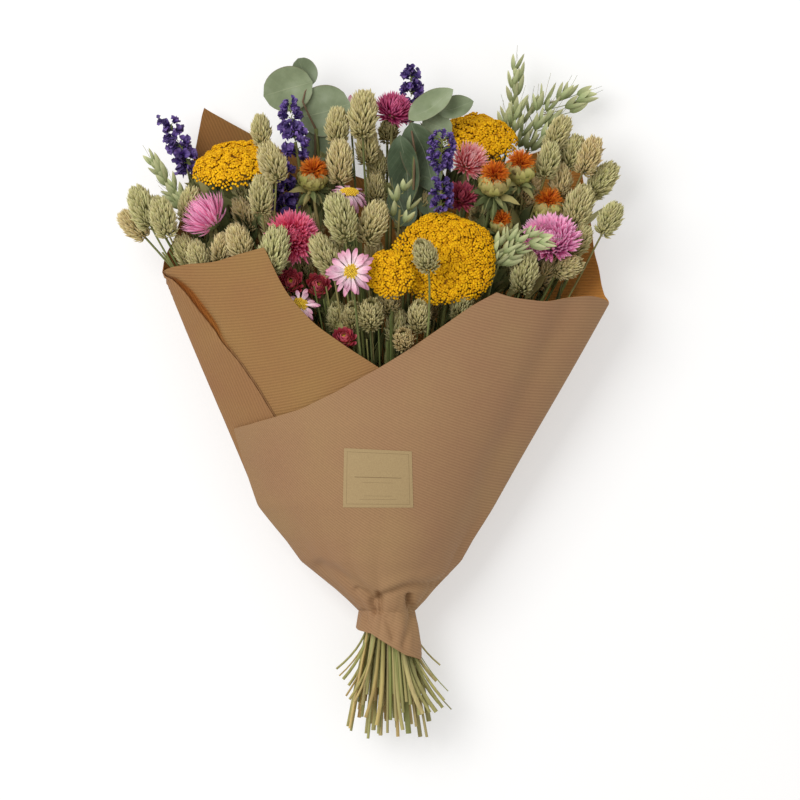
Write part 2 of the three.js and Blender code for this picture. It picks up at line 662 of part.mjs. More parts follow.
// The paper sticker on the front flap
const sticker = { x: 6.4, y: -63.6, width: 55, height: 47, thickness: 0.4, steps: 8 };
function stickerSkin(out) {
  return Array.from({ length: sticker.steps + 1 }, (_, i) =>
    Array.from({ length: sticker.steps + 1 }, (_, j) => {
      const y = sticker.y + sticker.height * (i / sticker.steps - 0.5);
      const x = sticker.x + sticker.width * (0.5 - j / sticker.steps);
      const { centre, half } = levelAt(y);
      const point = conePoint(360 + degrees(Math.acos((x - centre) / half)), y);
      return point.setZ(point.z + paper / 2 + gap + out);
    }),
  );
}
addNode("sticker", sheetSolid(stickerSkin(sticker.thickness), stickerSkin(0)), 0xb5a070, 0.6);

export default bouquet;
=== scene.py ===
# A bouquet of dried flowers in ribbed kraft paper, lying on a pale floor and seen from above.
# Lengths in the dictionaries are millimetres, and colours are 0 to 255 as a screen shows them.
import bpy
import numpy as np
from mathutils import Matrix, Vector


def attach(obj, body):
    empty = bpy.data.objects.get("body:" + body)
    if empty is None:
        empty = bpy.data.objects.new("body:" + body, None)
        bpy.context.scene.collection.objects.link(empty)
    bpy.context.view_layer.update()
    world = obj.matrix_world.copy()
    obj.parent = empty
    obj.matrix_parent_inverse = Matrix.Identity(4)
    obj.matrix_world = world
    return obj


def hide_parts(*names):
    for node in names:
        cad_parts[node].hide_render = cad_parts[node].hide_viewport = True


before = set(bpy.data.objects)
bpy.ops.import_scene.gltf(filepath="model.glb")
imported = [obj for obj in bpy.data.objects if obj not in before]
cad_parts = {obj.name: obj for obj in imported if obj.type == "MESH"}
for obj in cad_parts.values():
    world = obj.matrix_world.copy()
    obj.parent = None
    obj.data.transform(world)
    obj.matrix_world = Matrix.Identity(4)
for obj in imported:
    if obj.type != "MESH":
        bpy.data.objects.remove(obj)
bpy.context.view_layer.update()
mm = 0.001
golden = np.pi * (3 - 5 ** 0.5)  # the turn from one floret to the next
creaseAngle = 1.1  # radians between two faces, past which the edge between them is drawn sharp
xAxis, yAxis, zAxis = np.eye(3)


def unit(v):
    v = np.asarray(v, float)
    return v / np.maximum(np.linalg.norm(v, axis=-1, keepdims=True), 1e-9)


def mix(a, b, t):
    return a + (b - a) * t


def smooth(t):
    t = np.clip(t, 0, 1)
    return t * t * (3 - 2 * t)


def linear(colour):  # a screen colour as the linear one that shaders take
    c = np.asarray(colour, float) / 255
    return (*np.where(c < 0.04045, c / 12.92, ((c + 0.055) / 1.055) ** 2.4), 1.0)


class Wire:  # a socket of a material; arithmetic on wires adds Math nodes
    def __init__(self, finish, socket):
        self.finish, self.socket = finish, socket

    def maths(self, operation, *others, first=None, clamp=False):
        values = [self, *others] if first is None else [first, self]
        settings = {"operation": operation, "use_clamp": clamp}
        return self.finish.node("Math", settings, dict(enumerate(values)))

    def __add__(self, other):
        return self.maths("ADD", other)

    def __sub__(self, other):
        return self.maths("SUBTRACT", other)

    def __rsub__(self, other):
        return self.maths("SUBTRACT", first=other)

    def __mul__(self, other):
        return self.maths("MULTIPLY", other)

    def __pow__(self, other):
        return self.maths("POWER", other)

    def __abs__(self):
        return self.maths("ABSOLUTE")

    def __lt__(self, other):
        return self.maths("LESS_THAN", other)

    def sine(self):
        return self.maths("SINE")

    def kept(self):  # held between 0 and 1
        return self.maths("ADD", 0.0, clamp=True)

    __radd__, __rmul__ = __add__, __mul__


class Finish:  # one material: a Principled shader and what feeds it
    def __init__(self, name, roughness=0.7, specular=0.3, **fixed):
        self.material = bpy.data.materials.new(name)
        self.material.use_nodes = True
        self.tree = self.material.node_tree
        self.shader = self.tree.nodes["Principled BSDF"]
        self.set(self.shader.inputs["Roughness"], roughness)
        self.set(self.shader.inputs["Specular IOR Level"], specular)
        for socket, value in fixed.items():
            self.set(self.shader.inputs[socket.replace("_", " ")], value)

    def set(self, socket, value):
        if isinstance(value, Wire):
            self.tree.links.new(value.socket, socket)
        else:
            socket.default_value = value

    def node(self, kind, settings=None, sockets=None, out=0):
        made = self.tree.nodes.new("ShaderNode" + kind)
        for name, value in (settings or {}).items():
            if name == "stops":
                self.setStops(made.color_ramp, value)
            else:
                setattr(made, name, value)
        for name, value in (sockets or {}).items():
            self.set(made.inputs[name], value)
        return Wire(self, made.outputs[out])

    def setStops(self, ramp, stops):
        while len(ramp.elements) < len(stops):
            ramp.elements.new(0.5)
        for element, (place, colour) in zip(ramp.elements, stops):
            element.position, element.color = place, linear(colour)

    def ramp(self, factor, stops):
        return self.node("ValToRGB", {"stops": stops}, {0: factor})

    def blend(self, factor, a, b, mode="MIX"):
        a, b = (v if isinstance(v, Wire) else linear(v) for v in (a, b))
        return self.node("Mix", {"data_type": "RGBA", "blend_type": mode}, {0: factor, 6: a, 7: b}, out=2)

    def noise(self, scale, detail=2.0, stretch=None):
        where = self.node("TexCoord", out="Object")  # where the point is, in metres
        if stretch:
            where = self.node("Mapping", None, {0: where, 3: stretch})
        return self.node("TexNoise", None, {"Vector": where, "Scale": scale, "Detail": detail})

    def grain(self):  # along 0 to 1, across -1 to 1, and the tone of the piece
        vector = self.node("Attribute", {"attribute_name": "grain"}, out="Vector")
        split = self.node("SeparateXYZ", None, {0: vector})
        return [Wire(self, out) for out in split.socket.node.outputs]

    def luck(self):  # a number of its own for each petal, scale or stem
        return self.node("Attribute", {"attribute_name": "luck"}, out="Fac")

    def varied(self, colour, luck, depth=0.3, hue=0.02):  # lighter and darker, and a little off hue
        return self.node("HueSaturation", None, {
            "Hue": 0.5 + (luck - 0.5) * hue, "Value": 1 + (luck - 0.5) * depth, "Color": colour,
        })

    def bump(self, height, depth):
        return self.node("Bump", None, {"Height": height, "Distance": depth * mm})

    def paint(self, colour, roughness=None, normal=None):
        self.set(self.shader.inputs["Base Color"], colour)
        if roughness is not None:
            self.set(self.shader.inputs["Roughness"], roughness)
        if normal is not None:
            self.set(self.shader.inputs["Normal"], normal)
        return self.material


# A shape is a dictionary of points, grain (along, across), quads and tris. This closes one, and turns
# it inside out where its faces enclose less than nothing
def facingOut(points, grain, quads, tris):
    a, b, c = (points[tris[:, x]] for x in range(3))
    d, e, f, g = (points[quads[:, x]] for x in range(4))
    volume = (np.cross(b, c) * a).sum() + (np.cross(e, f) * d).sum() + (np.cross(f, g) * d).sum()
    if volume < 0:
        quads, tris = quads[:, ::-1], tris[:, ::-1]
    return dict(points=points, grain=grain, quads=quads, tris=tris)


# Rings of points from the base to the tip, joined round and closed at both ends by a point
def closedRings(rings, ends, grain, endGrain):
    k, m = rings.shape[:2]
    i, j = (g.ravel() for g in np.meshgrid(np.arange(k - 1), np.arange(m), indexing="ij"))
    n = (j + 1) % m
    quads = np.stack([i * m + j, i * m + n, (i + 1) * m + n, (i + 1) * m + j], -1)
    ring, last = np.arange(m), (k - 1) * m
    after = (ring + 1) % m
    low = np.stack([np.full(m, k * m), after, ring], -1)
    high = np.stack([np.full(m, k * m + 1), last + ring, last + after], -1)
    points = np.concatenate([rings.reshape(-1, 3), ends])
    grains = np.concatenate([grain.reshape(-1, 2), endGrain])
    return facingOut(points, grains, quads, np.concatenate([low, high]))


# Where a point lies on an arc of `bend` radians, `t` along it and `h` off it
def bent(t, h, bend):
    sine, cosine = np.sin(bend * t), np.cos(bend * t)
    return sine / bend - h * sine, (1 - cosine) / bend + h * cosine


# A leaf, petal or scale of length 1 along y. It is sin(pi u^q)^point wide, with the
# widest place at `belly`; its two skins part by thick * (1 - s^2) and share their edges. The edges
# rise by cup, the middle by keel, crinkles ripple it, and it bends on an arc of `bend` radians.
def blade(rings=4, columns=4, belly=0.5, point=0.8, thick=0.03, cup=0.0, keel=0.0,
          bend=0.0, crinkle=0.0, ripples=9.0, seed=0.0, blunt=False):
    u = np.arange(1, rings + 1) / (rings + 1)
    if blunt:
        u = (1 - np.cos(np.pi * u)) / 2
    s = np.linspace(-1, 1, columns)
    s = np.concatenate([s, s[-2:0:-1]])
    side = np.where(np.arange(len(s)) < columns, 1, -1)
    u, s, side = u[:, None], s[None, :], side[None, :]
    half = np.sin(np.pi * u ** (np.log(0.5) / np.log(belly))) ** point / 2
    height = half * (cup * s ** 2 + keel * (1 - np.abs(s)) * np.sin(np.pi * u))
    height = height + side * thick / 2 * (1 - s ** 2)
    height = height + crinkle * np.sin(ripples * u + 3 * s + seed) * np.cos(ripples * 0.7 * s + seed * 2)
    x = s * half * (1 + 2 * crinkle * np.sin(ripples * 1.7 * u + seed))
    ends = np.array([[0, 0, 0], [0, 1, 0]], float)
    y, z = u + 0 * s, height
    if bend:
        y, z = bent(u, z, bend)
        ends[1, 1:] = bent(1.0, 0.0, bend)
    grain = np.stack(np.broadcast_arrays(u, s), -1)
    return closedRings(np.stack([x, y, z], -1), ends, grain, np.array([[0, 0], [1, 0]]))


# A turned body: radii at heights along z, with `lobes` waves of depth `wave` round it
def turned(radii, heights, sides=12, lobes=0, wave=0.0):
    radii, heights = np.asarray(radii, float), np.asarray(heights, float)
    turn = np.arange(sides) * 2 * np.pi / sides
    r = radii[1:-1, None] * (1 + wave * np.cos(lobes * turn))
    z = heights[1:-1, None] + 0 * turn
    rings = np.stack([r * np.cos(turn), r * np.sin(turn), z], -1)
    ends = np.array([[0, 0, heights[0]], [0, 0, heights[-1]]])
    share = (heights - heights.min()) / np.ptp(heights)
    grain = np.stack(np.broadcast_arrays(share[1:-1, None], turn / np.pi - 1), -1)
    return closedRings(rings, ends, grain, np.array([[share[0], 0], [share[-1], 0]]))


cutFace = dict(ring=0.55, ringDip=0.15, middleDip=0.5, tipRise=0.5)  # of a stem, counted in its radius


# A round stem along a line of points, its radius given at each, fluted by `wave`. It starts with a
# cut face, hollowed a little, where the grain runs below 0, and ends in a low point
def stem(line, radius, sides=7, wave=0.06):
    line = np.asarray(line, float)
    radius = np.broadcast_to(radius, len(line))
    along = unit(np.gradient(line, axis=0))
    across = unit(xAxis - along * along[:, :1])
    third = np.cross(along, across)
    turn = np.arange(sides) * 2 * np.pi / sides
    r = radius[:, None] * (1 + wave * np.cos(3 * turn))
    aside = (r * np.cos(turn))[..., None] * across[:, None]
    rings = line[:, None] + aside + (r * np.sin(turn))[..., None] * third[:, None]
    inner = line[0] + (rings[0] - line[0]) * cutFace["ring"] + along[0] * radius[0] * cutFace["ringDip"]
    rings = np.concatenate([inner[None], rings])
    middle = line[0] + along[0] * radius[0] * cutFace["middleDip"]
    ends = np.stack([middle, line[-1] + along[-1] * radius[-1] * cutFace["tipRise"]])
    run = np.concatenate([[0], np.cumsum(np.linalg.norm(np.diff(line, axis=0), axis=1))])
    share = np.concatenate([[-0.02], run / run[-1]])
    grain = np.stack(np.broadcast_arrays(share[:, None], turn / np.pi - 1), -1)
    return closedRings(rings, ends, grain, np.array([[-0.04, 0], [1, 0]]))


# The way each point of a grid faces, by its neighbours along rows and columns
def gridNormal(middle):
    return unit(np.cross(np.gradient(middle, axis=0), np.gradient(middle, axis=1)))


# A sheet of a thickness over a grid of points, with its four edges closed
def sheet(middle, normal, thickness, grain):
    k, m = middle.shape[:2]
    points = np.concatenate([middle + normal * thickness / 2, middle - normal * thickness / 2])
    cell = np.arange(k * m).reshape(k, m)
    top = np.stack([cell[:-1, :-1], cell[:-1, 1:], cell[1:, 1:], cell[1:, :-1]], -1).reshape(-1, 4)
    rim = np.concatenate([cell[0, :-1], cell[:-1, -1], cell[-1, :0:-1], cell[:0:-1, 0]])
    after = np.roll(rim, -1)
    edge = np.stack([rim, rim + k * m, after + k * m, after], -1)
    quads = np.concatenate([top, top[:, ::-1] + k * m, edge])
    grains = np.concatenate([grain.reshape(-1, 2)] * 2)
    return facingOut(points.reshape(-1, 3), grains, quads, np.zeros((0, 3), int))


# A closed loop of strand with a round section
def loop(line, radius, sides=6):
    along = unit(np.roll(line, -1, 0) - np.roll(line, 1, 0))
    across = unit(np.cross(along, yAxis))
    third = np.cross(along, across)
    turn = (np.arange(sides) * 2 * np.pi / sides)[None, :, None]
    rings = line[:, None] + radius * (np.cos(turn) * across[:, None] + np.sin(turn) * third[:, None])
    k = len(line)
    i, j = (g.ravel() for g in np.meshgrid(np.arange(k), np.arange(sides), indexing="ij"))
    ahead, n = (i + 1) % k, (j + 1) % sides
    quads = np.stack([i * sides + j, i * sides + n, ahead * sides + n, ahead * sides + j], -1)
    grain = np.stack(np.broadcast_arrays(np.linspace(0, 1, k)[:, None], turn[0, :, 0] / np.pi - 1), -1)
    return facingOut(rings.reshape(-1, 3), grain.reshape(-1, 2), quads, np.zeros((0, 3), int))


# Copies of a shape: each has its base, the way it runs, the way its upper face looks and its size
def stamp(shape, base, along, normal, size, tone=0.5, luck=0.5):
    base, along = np.atleast_2d(base), unit(np.atleast_2d(along))
    n, v = len(base), len(shape["points"])
    normal = np.broadcast_to(normal, (n, 3))
    normal = unit(normal - along * (normal * along).sum(-1, keepdims=True))
    axes = np.stack([np.cross(along, normal), along, normal], 1)
    size = np.asarray(size, float)
    size = np.broadcast_to(size[:, None] if size.ndim == 1 and len(size) == n else size, (n, 3))
    points = base[:, None] + np.einsum("vk,nk,nkx->nvx", shape["points"], size, axes)
    shift = (np.arange(n) * v)[:, None, None]
    grain = np.broadcast_to(shape["grain"], (n, v, 2))
    tone, luck = (np.broadcast_to(np.reshape(value, (-1, 1)), (n, v)).ravel() for value in (tone, luck))
    return dict(
        points=points.reshape(-1, 3), grain=grain.reshape(-1, 2), tone=tone, luck=luck,
        quads=(shape["quads"] + shift).reshape(-1, 4), tris=(shape["tris"] + shift).reshape(-1, 3),
    )


def single(shape, tone=0.5, luck=0.5):  # one shape as it stands
    return stamp(shape, np.zeros(3), yAxis, zAxis, np.ones(3), tone, luck)


# Parts of a head, made with z along its axis, moved to its place
def placed(parts, middle, facing, turn=0.0):
    facing = unit(facing)
    across = unit(np.cross(zAxis, facing))
    third = np.cross(facing, across)
    c, s = np.cos(turn), np.sin(turn)
    axes = np.stack([c * across + s * third, c * third - s * across, facing])
    return [(dict(part, points=part["points"] @ axes + middle), paint) for part, paint in parts]


# Joins parts, each with its material, into one mesh of a piece that rides on the bouquet
def piece(name, parts, node=None):
    paints = list(dict.fromkeys(paint for _, paint in parts))
    counts = [len(part["points"]) for part, _ in parts]
    starts = np.concatenate([[0], np.cumsum(counts)[:-1]])
    points, grain, tone, luck = (
        np.concatenate([part[key] for part, _ in parts]) for key in ("points", "grain", "tone", "luck")
    )
    quads, tris = (
        np.concatenate([part[key] + start for (part, _), start in zip(parts, starts)])
        for key in ("quads", "tris")
    )
    worn = np.concatenate([
        np.full(len(part[key]), paints.index(paint)) for key in ("quads", "tris") for part, paint in parts
    ])
    mesh = bpy.data.meshes.new(name)
    mesh.vertices.add(len(points))
    mesh.vertices.foreach_set("co", (points * mm).astype(np.float32).ravel())
    mesh.loops.add(quads.size + tris.size)
    mesh.loops.foreach_set("vertex_index", np.concatenate([quads.ravel(), tris.ravel()]).astype(np.int32))
    mesh.polygons.add(len(quads) + len(tris))
    loopStart = np.concatenate([np.arange(len(quads)) * 4, quads.size + np.arange(len(tris)) * 3])
    mesh.polygons.foreach_set("loop_start", loopStart.astype(np.int32))
    mesh.polygons.foreach_set("material_index", worn.astype(np.int32))
    grain = np.concatenate([grain, tone[:, None]], 1).astype(np.float32)
    mesh.attributes.new("grain", "FLOAT_VECTOR", "POINT").data.foreach_set("vector", grain.ravel())
    mesh.attributes.new("luck", "FLOAT", "POINT").data.foreach_set("value", luck.astype(np.float32))
    for paint in paints:
        mesh.materials.append(paint)
    mesh.update(calc_edges=True)
    mesh.validate()
    mesh.shade_smooth()
    mesh.set_sharp_from_angle(angle=creaseAngle)
    made = bpy.data.objects.new(name, mesh)
    bpy.context.scene.collection.objects.link(made)
    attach(made, "root")
    if node:
        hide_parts(node)


# A colour with fine specks in it, and a shade of its own for each petal, scale or stem
def speckled(f, colour, depth=0.25, scale=900, hue=0.03, bump=0.12):
    speck = f.noise(scale, 3.0)
    toned = f.varied(colour, (f.luck() + speck) * 0.5, depth * 2, hue)
    return f.paint(toned, normal=f.bump(speck, bump))


# Scales of a grass head: green to straw by their tone
def glumeFinish():
    f = Finish("grass_glume", 0.8, 0.12)
    along, across, tone = f.grain()
    green = f.ramp(along, [
        (0.0, (112, 112, 62)), (0.3, (156, 155, 102)), (0.7, (188, 185, 132)), (1.0, (220, 214, 166)),
    ])
    straw = f.ramp(along, [
        (0.0, (136, 108, 64)), (0.3, (184, 156, 104)), (0.7, (210, 184, 134)), (1.0, (234, 214, 172)),
    ])
    body = f.blend(tone, green, straw)
    margin = ((abs(across) - 0.45) * 2.2).kept() * 0.35  # pale thin edges beside a green keel
    keel = ((0.28 - abs(across)) * 5).kept() * (1 - along).kept() * 0.45
    body = f.blend(margin, body, (214, 206, 152))
    body = f.blend(keel, body, (122, 132, 62))
    return speckled(f, body, depth=0.3, scale=1300)


# Petals from base to tip, the colours drawn out along veins: sine lines across, and a little noise
def petalFinish(name, base, body, tip, roughness=0.5, veins=7.0, depth=0.3):
    f = Finish(name, roughness, 0.35)
    along, across, _ = f.grain()
    vein = (across * veins * np.pi).sine()
    drawn = vein * 0.07 + f.noise(700) * 0.16 - 0.08
    colour = f.ramp((along + drawn).kept(), [(0.0, base), (0.4, body), (1.0, tip)])
    speck = f.noise(1200)
    toned = f.varied(colour, (f.luck() + speck) * 0.5, depth * 2, 0.03)
    return f.paint(toned, normal=f.bump((vein * 0.5 + 0.5) * 0.3 + speck * 0.5, 0.15))


# One run of colours from base to tip
def ramped(name, stops, roughness=0.7, depth=0.3, scale=900, hue=0.03, specular=0.3):
    f = Finish(name, roughness, specular)
    along, _, _ = f.grain()
    return speckled(f, f.ramp(along, stops), depth, scale, hue)


# Stems: each a straw or green of its own, greener further up, green where the tone is low
def stalkFinish():
    f = Finish("stalk", 0.7, 0.3)
    along, _, tone = f.grain()
    luck = f.luck()
    low = f.ramp(luck, [
        (0.0, (140, 134, 88)), (0.25, (188, 170, 118)), (0.45, (132, 136, 80)), (0.65, (168, 160, 106)),
        (0.85, (206, 174, 114)), (1.0, (122, 104, 66)),
    ])
    high = f.ramp(luck, [(0.0, (84, 92, 50)), (0.5, (118, 122, 70)), (1.0, (140, 128, 80))])
    body = f.blend(((along - 0.25) * 2.5).kept(), low, high)
    body = f.blend(tone, (108, 138, 44), body)
    streak = f.noise(420, 3.0, (1, 0.06, 1))
    body = f.blend(along < -0.001, f.varied(body, streak, 0.9, 0.04), (196, 176, 122))  # pale cut faces
    return f.paint(body, normal=f.bump(streak, 0.25))


# Narrow leaves, each its own green or brown, with a pale midrib and a browner tip
def leafFinish():
    f = Finish("dry_leaf", 0.7, 0.3)
    along, across, _ = f.grain()
    body = f.ramp(f.luck(), [
        (0.0, (62, 72, 38)), (0.4, (96, 106, 62)), (0.75, (128, 132, 84)), (1.0, (150, 138, 88)),
    ])
    midrib = ((0.16 - abs(across)) * 9).kept() * 0.45
    body = f.blend(midrib, body, (164, 166, 112))
    body = f.blend(((along - 0.7) * 3).kept() * 0.5, body, (146, 124, 78))
    return speckled(f, body, depth=0.3, scale=500)


# Grey green leaves with side veins, at sines of along - 0.3 across, a midrib and a brown rim
def eucalyptusFinish():
    f = Finish("eucalyptus_leaf", 0.62, 0.3)
    along, across, tone = f.grain()
    bloom = f.noise(60, 4.0)
    pale = f.ramp(bloom, [(0.25, (118, 130, 98)), (0.5, (138, 150, 116)), (0.75, (156, 166, 138))])
    deep = f.ramp(bloom, [(0.25, (46, 58, 38)), (0.5, (66, 82, 58)), (0.75, (92, 108, 82))])
    body = f.blend(tone, deep, pale)
    side = abs(((along * 9 - abs(across) * 2.6) * np.pi).sine())
    vein = ((0.14 - side) * 7).kept() * 0.14 + ((0.03 - abs(across)) * 40).kept() * 0.35
    body = f.blend(vein.kept(), body, (176, 184, 150))
    rim = ((abs(across) - 0.94) * 16).kept() * 0.5
    body = f.blend(rim, body, (126, 104, 84))
    return f.paint(body, normal=f.bump(vein + f.noise(300, 3.0) * 0.4, 0.3))


# Bracts of a bulb, with brown spots and fine ribs
def safflowerFinish():
    f = Finish("safflower_bract", 0.55, 0.35)
    along, across, _ = f.grain()
    body = f.ramp((along + f.noise(260) * 0.4 - 0.2).kept(), [
        (0.0, (118, 118, 60)), (0.35, (160, 154, 84)), (0.8, (190, 178, 110)), (1.0, (168, 146, 86)),
    ])
    spots = ((f.noise(170, 1.0) - 0.66) * 12).kept() * 0.75
    body = f.blend(spots, body, (84, 66, 34))
    ribs = abs((across * 4 * np.pi).sine())
    return f.paint(f.varied(body, f.luck(), 0.3, 0.04), normal=f.bump(ribs, 0.15))


finish = dict(
    glume=glumeFinish(),
    core=ramped("grass_core", [(0.0, (112, 108, 62)), (1.0, (140, 134, 84))]),
    stalk=stalkFinish(),
    leaf=leafFinish(),
    yarrowFloret=ramped("yarrow_floret", [
        (0.0, (136, 90, 6)), (0.35, (188, 128, 6)), (0.7, (212, 153, 9)), (1.0, (226, 172, 24)),
    ], roughness=0.85, depth=0.34, scale=1500, specular=0.08),
    yarrowBed=ramped("yarrow_bed", [(0.0, (98, 92, 44)), (1.0, (150, 98, 8))], roughness=0.85),
    yarrowStalk=ramped("yarrow_stalk", [(0.0, (112, 112, 62)), (1.0, (150, 142, 78))], roughness=0.8),
    daisyPetal=petalFinish(
        "daisy_petal", (238, 230, 224), (224, 190, 202), (198, 130, 158), veins=5.0, depth=0.5,
    ),
    daisyDisc=ramped("daisy_disc", [
        (0.0, (150, 96, 8)), (0.5, (214, 158, 20)), (1.0, (240, 206, 66)),
    ], roughness=0.8, depth=0.25, scale=1500),
    larkspur=petalFinish(
        "larkspur_sepal", (58, 42, 94), (52, 29, 103), (118, 97, 160), roughness=0.6, veins=3.0, depth=0.8,
    ),
    safflowerBract=safflowerFinish(),
    safflowerBrush=ramped("safflower_floret", [
        (0.0, (134, 40, 6)), (0.45, (192, 78, 14)), (1.0, (224, 130, 34)),
    ], roughness=0.65, depth=0.35, hue=0.05),
    oatHusk=petalFinish(
        "oat_husk", (120, 132, 84), (153, 163, 114), (198, 198, 150), roughness=0.6, depth=0.35,
    ),
    eucalyptus=eucalyptusFinish(),
    twig=ramped("eucalyptus_twig", [(0.0, (104, 86, 60)), (1.0, (118, 92, 74))]),
)
strawColours = dict(  # base, body and tip of the bracts
    pink=((252, 222, 232), (244, 146, 194), (250, 186, 218)),
    hotPink=((246, 130, 176), (241, 46, 120), (253, 156, 184)),
    darkRed=((248, 206, 150), (180, 34, 62), (222, 112, 124)),
    magenta=((218, 92, 144), (182, 42, 108), (226, 128, 168)),
    violetPink=((252, 224, 238), (250, 140, 204), (254, 204, 230)),
    wine=((206, 96, 108), (156, 42, 72), (200, 98, 116)),
    peach=((246, 140, 132), (242, 122, 132), (252, 214, 212)),
)
for colourName, colours in strawColours.items():
    roughness = 0.34 if colourName in ("darkRed", "magenta") else 0.5
    finish[colourName] = petalFinish("strawflower_" + colourName, *colours, roughness, veins=4.0)
print("finishes made")


cone = dict(  # the paper cone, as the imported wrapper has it
    tieY=-171, paper=0.9, lapGap=2.6, lapFrom=350, lapTo=430, flareLength=40, sidePower=2.2,
    frontFullness=0.8, backFullness=0.7, backPress=1.12,
    levels=np.array([  # y, left edge, right edge, lowest z, side z, highest z
        [-212, -16.5, 44, 17, 43, 69], [-190, -13, 40.6, 19, 44, 68], [-171, -9.6, 37.2, 20.6, 44, 67.4],
        [-162, -18.4, 45.6, 17, 46, 73], [-153, -28, 52.8, 12, 47, 79], [-130, -55.2, 73.6, 4, 50, 92],
        [-113, -66.7, 82.4, 1.5, 52, 99], [-85, -89.2, 98.7, 0, 54, 107], [-24, -114.4, 132.8, 0, 60, 122],
        [76, -155.2, 188.8, 0, 68, 140], [101, -165.6, 203.2, 0, 70, 143], [233, -219, 276.8, 0, 84, 165],
    ]),
    upperEdge=np.array([  # degrees round from the right side over the front, and y
        [92, 23], [102, 39], [112, 58], [118, 78], [121.5, 94], [123, 119], [140, 108], [162, 105.5],
        [180, 101.6], [186, 104], [203.5, 127], [212, 150], [219, 180], [224.5, 210], [228, 235],
        [244, 202], [266, 173], [288, 186], [306, 211], [314.5, 164], [326.5, 118], [338.5, 92],
        [345.5, 83], [360, 76.5], [372, 80], [386, 82], [397, 78.5], [405, 76], [417, 79], [422, 83],
        [428, 73], [433, 61], [439, 48], [444, 37.6], [452, 24], [466, 5], [480, -9], [494, -16],
        [508, -21], [522, -24],
    ]),
    lowerEdge=np.array([
        [92, -182], [180, -183], [270, -186], [340, -196], [383, -210.5], [421, -206], [479, -189],
        [522, -184],
    ]),
)
waist = np.array([13.8, -150, 44])  # the middle of the bunch, where the paper is narrow


def keyed(table, x, column=1):  # a table's column at x
    return np.interp(x, table[:, 0], table[:, column])


# How far x lies from the middle of the cone to its side, `inset` in from the edge: -1 to 1
def reachOf(x, y, inset=0.0):
    left, right = keyed(cone["levels"], y, 1), keyed(cone["levels"], y, 2)
    return (x - (left + right) / 2) / ((right - left) / 2 - inset)


# The cone at a wrap angle and a height: x = centre + half * cos(wrap), and z swells from the side
# level by (1 - |cos|^power)^fullness, to the front or down to the floor. The powers are 2 and 1/2 at
# the tie, an ellipse. The inner turn is a gap smaller than the outer one that laps it.
def conePoint(wrap, y):
    wrap, y = np.broadcast_arrays(np.asarray(wrap, float), np.asarray(y, float))
    lap = smooth((wrap - cone["lapFrom"]) / (cone["lapTo"] - cone["lapFrom"]))
    inset = -cone["lapGap"] * (1 - lap)
    left, right, low, side, high = (keyed(cone["levels"], y, k) for k in range(1, 6))
    across = np.cos(np.radians(wrap))
    flare = smooth((y - cone["tieY"]) / cone["flareLength"])
    swell = np.maximum(0, 1 - np.abs(across) ** mix(2, cone["sidePower"], flare))
    rise = (high - side + inset) * swell ** mix(0.5, cone["frontFullness"], flare)
    drop = (side - low + inset) * swell ** mix(0.5, cone["backFullness"], flare) * cone["backPress"]
    back = np.maximum(side - drop, low + cone["paper"] / 2)
    z = np.where(np.sin(np.radians(wrap)) >= 0, side + rise, back)
    return np.stack([(left + right) / 2 + ((right - left) / 2 + inset) * across, y, z], -1)


kraft = dict(
    flapColumns=104, foldColumns=44, panelColumns=232, bodyRows=96, tailRows=22, thickness=0.35,
    sideBulge=3.2, bulgePower=10, bulgeRise=90, rowPower=1.5, corners=(123, 180, 228, 306, 360, 422),
    tuck=26, tuckFrom=480, foldFrom=0.6, foldFade=0.06, foldNarrow=0.35, pleatRoom=6, pleatWidth=7,
    waveDepth=0.9, waves=2.1, gatherDepth=1.1, gathers=7, mouthLeft=-150,
    crease=np.array([  # down the left flap: x, y
        [-165.6, 100.8], [-155.2, 95.2], [-146.4, 84.8], [-136.8, 70.4], [-122.4, 50.4], [-105.6, 29.6],
        [-91.2, 8], [-78.4, -13.6], [-76, -16.8],
    ]),
    fold=np.array([  # the pleat there, across and off the sheet: the side panel laps over the flap
        [-14, 0], [-10.5, -0.6], [-7, -1.8], [-3.5, -3.7], [0, -5.2], [3, -5.6], [5.2, -4.8],
        [5.8, -3.6], [4.6, -2.5], [2.2, -1.6], [0, -0.6], [-0.5, 0.2], [0, 0.8], [2, 1.2], [6, 0.9],
        [12, 0.2], [17, 0],
    ]),
    open=np.array([  # how far the pleat stands open, from the waist at 0 to the upper edge at 1
        [0.6, 0], [0.66, 0.3], [0.8, 0.32], [0.86, 0.55], [0.9, 1], [0.94, 1], [0.98, 0.5], [1, 0.2],
    ]),
    dents=[  # creases and hollows of the front: a line of x, y, how deep and how wide
        ([(158, 72), (132.8, 22.4), (116.8, -13.6), (98.4, -52.8), (86, -92), (72, -128)], 3.6, 10),
        ([(-40, -134), (-16, -147), (0, -157), (6, -164)], 2.8, 5),
        ([(56, -149), (26, -151), (12, -157), (3, -164)], 3.6, 2.8),
        ([(60, -139), (34, -143), (14, -149)], -1.6, 5),
        ([(-12, -154), (-1, -160), (2.4, -171)], 3, 2.1),
        ([(5, -157), (7.2, -171)], 2.8, 1.9),
        ([(31.2, -160), (31.6, -167)], 8, 2.8),
        ([(33, -172), (27, -198)], 2.6, 3.2),
        ([(20, -166), (24, -184)], -1.6, 5),
        ([(12, -176), (18, -192)], 1.8, 2.6),
        ([(-6, -172), (-2, -184)], 1.6, 2.4),
        ([(36, -178), (40, -200)], -1.4, 3),
        ([(-120, 40), (-104, 0), (-84, -48)], -0.8, 9),
        ([(-146, 112), (-137, 86), (-124, 54)], 1.8, 6),
    ],
)


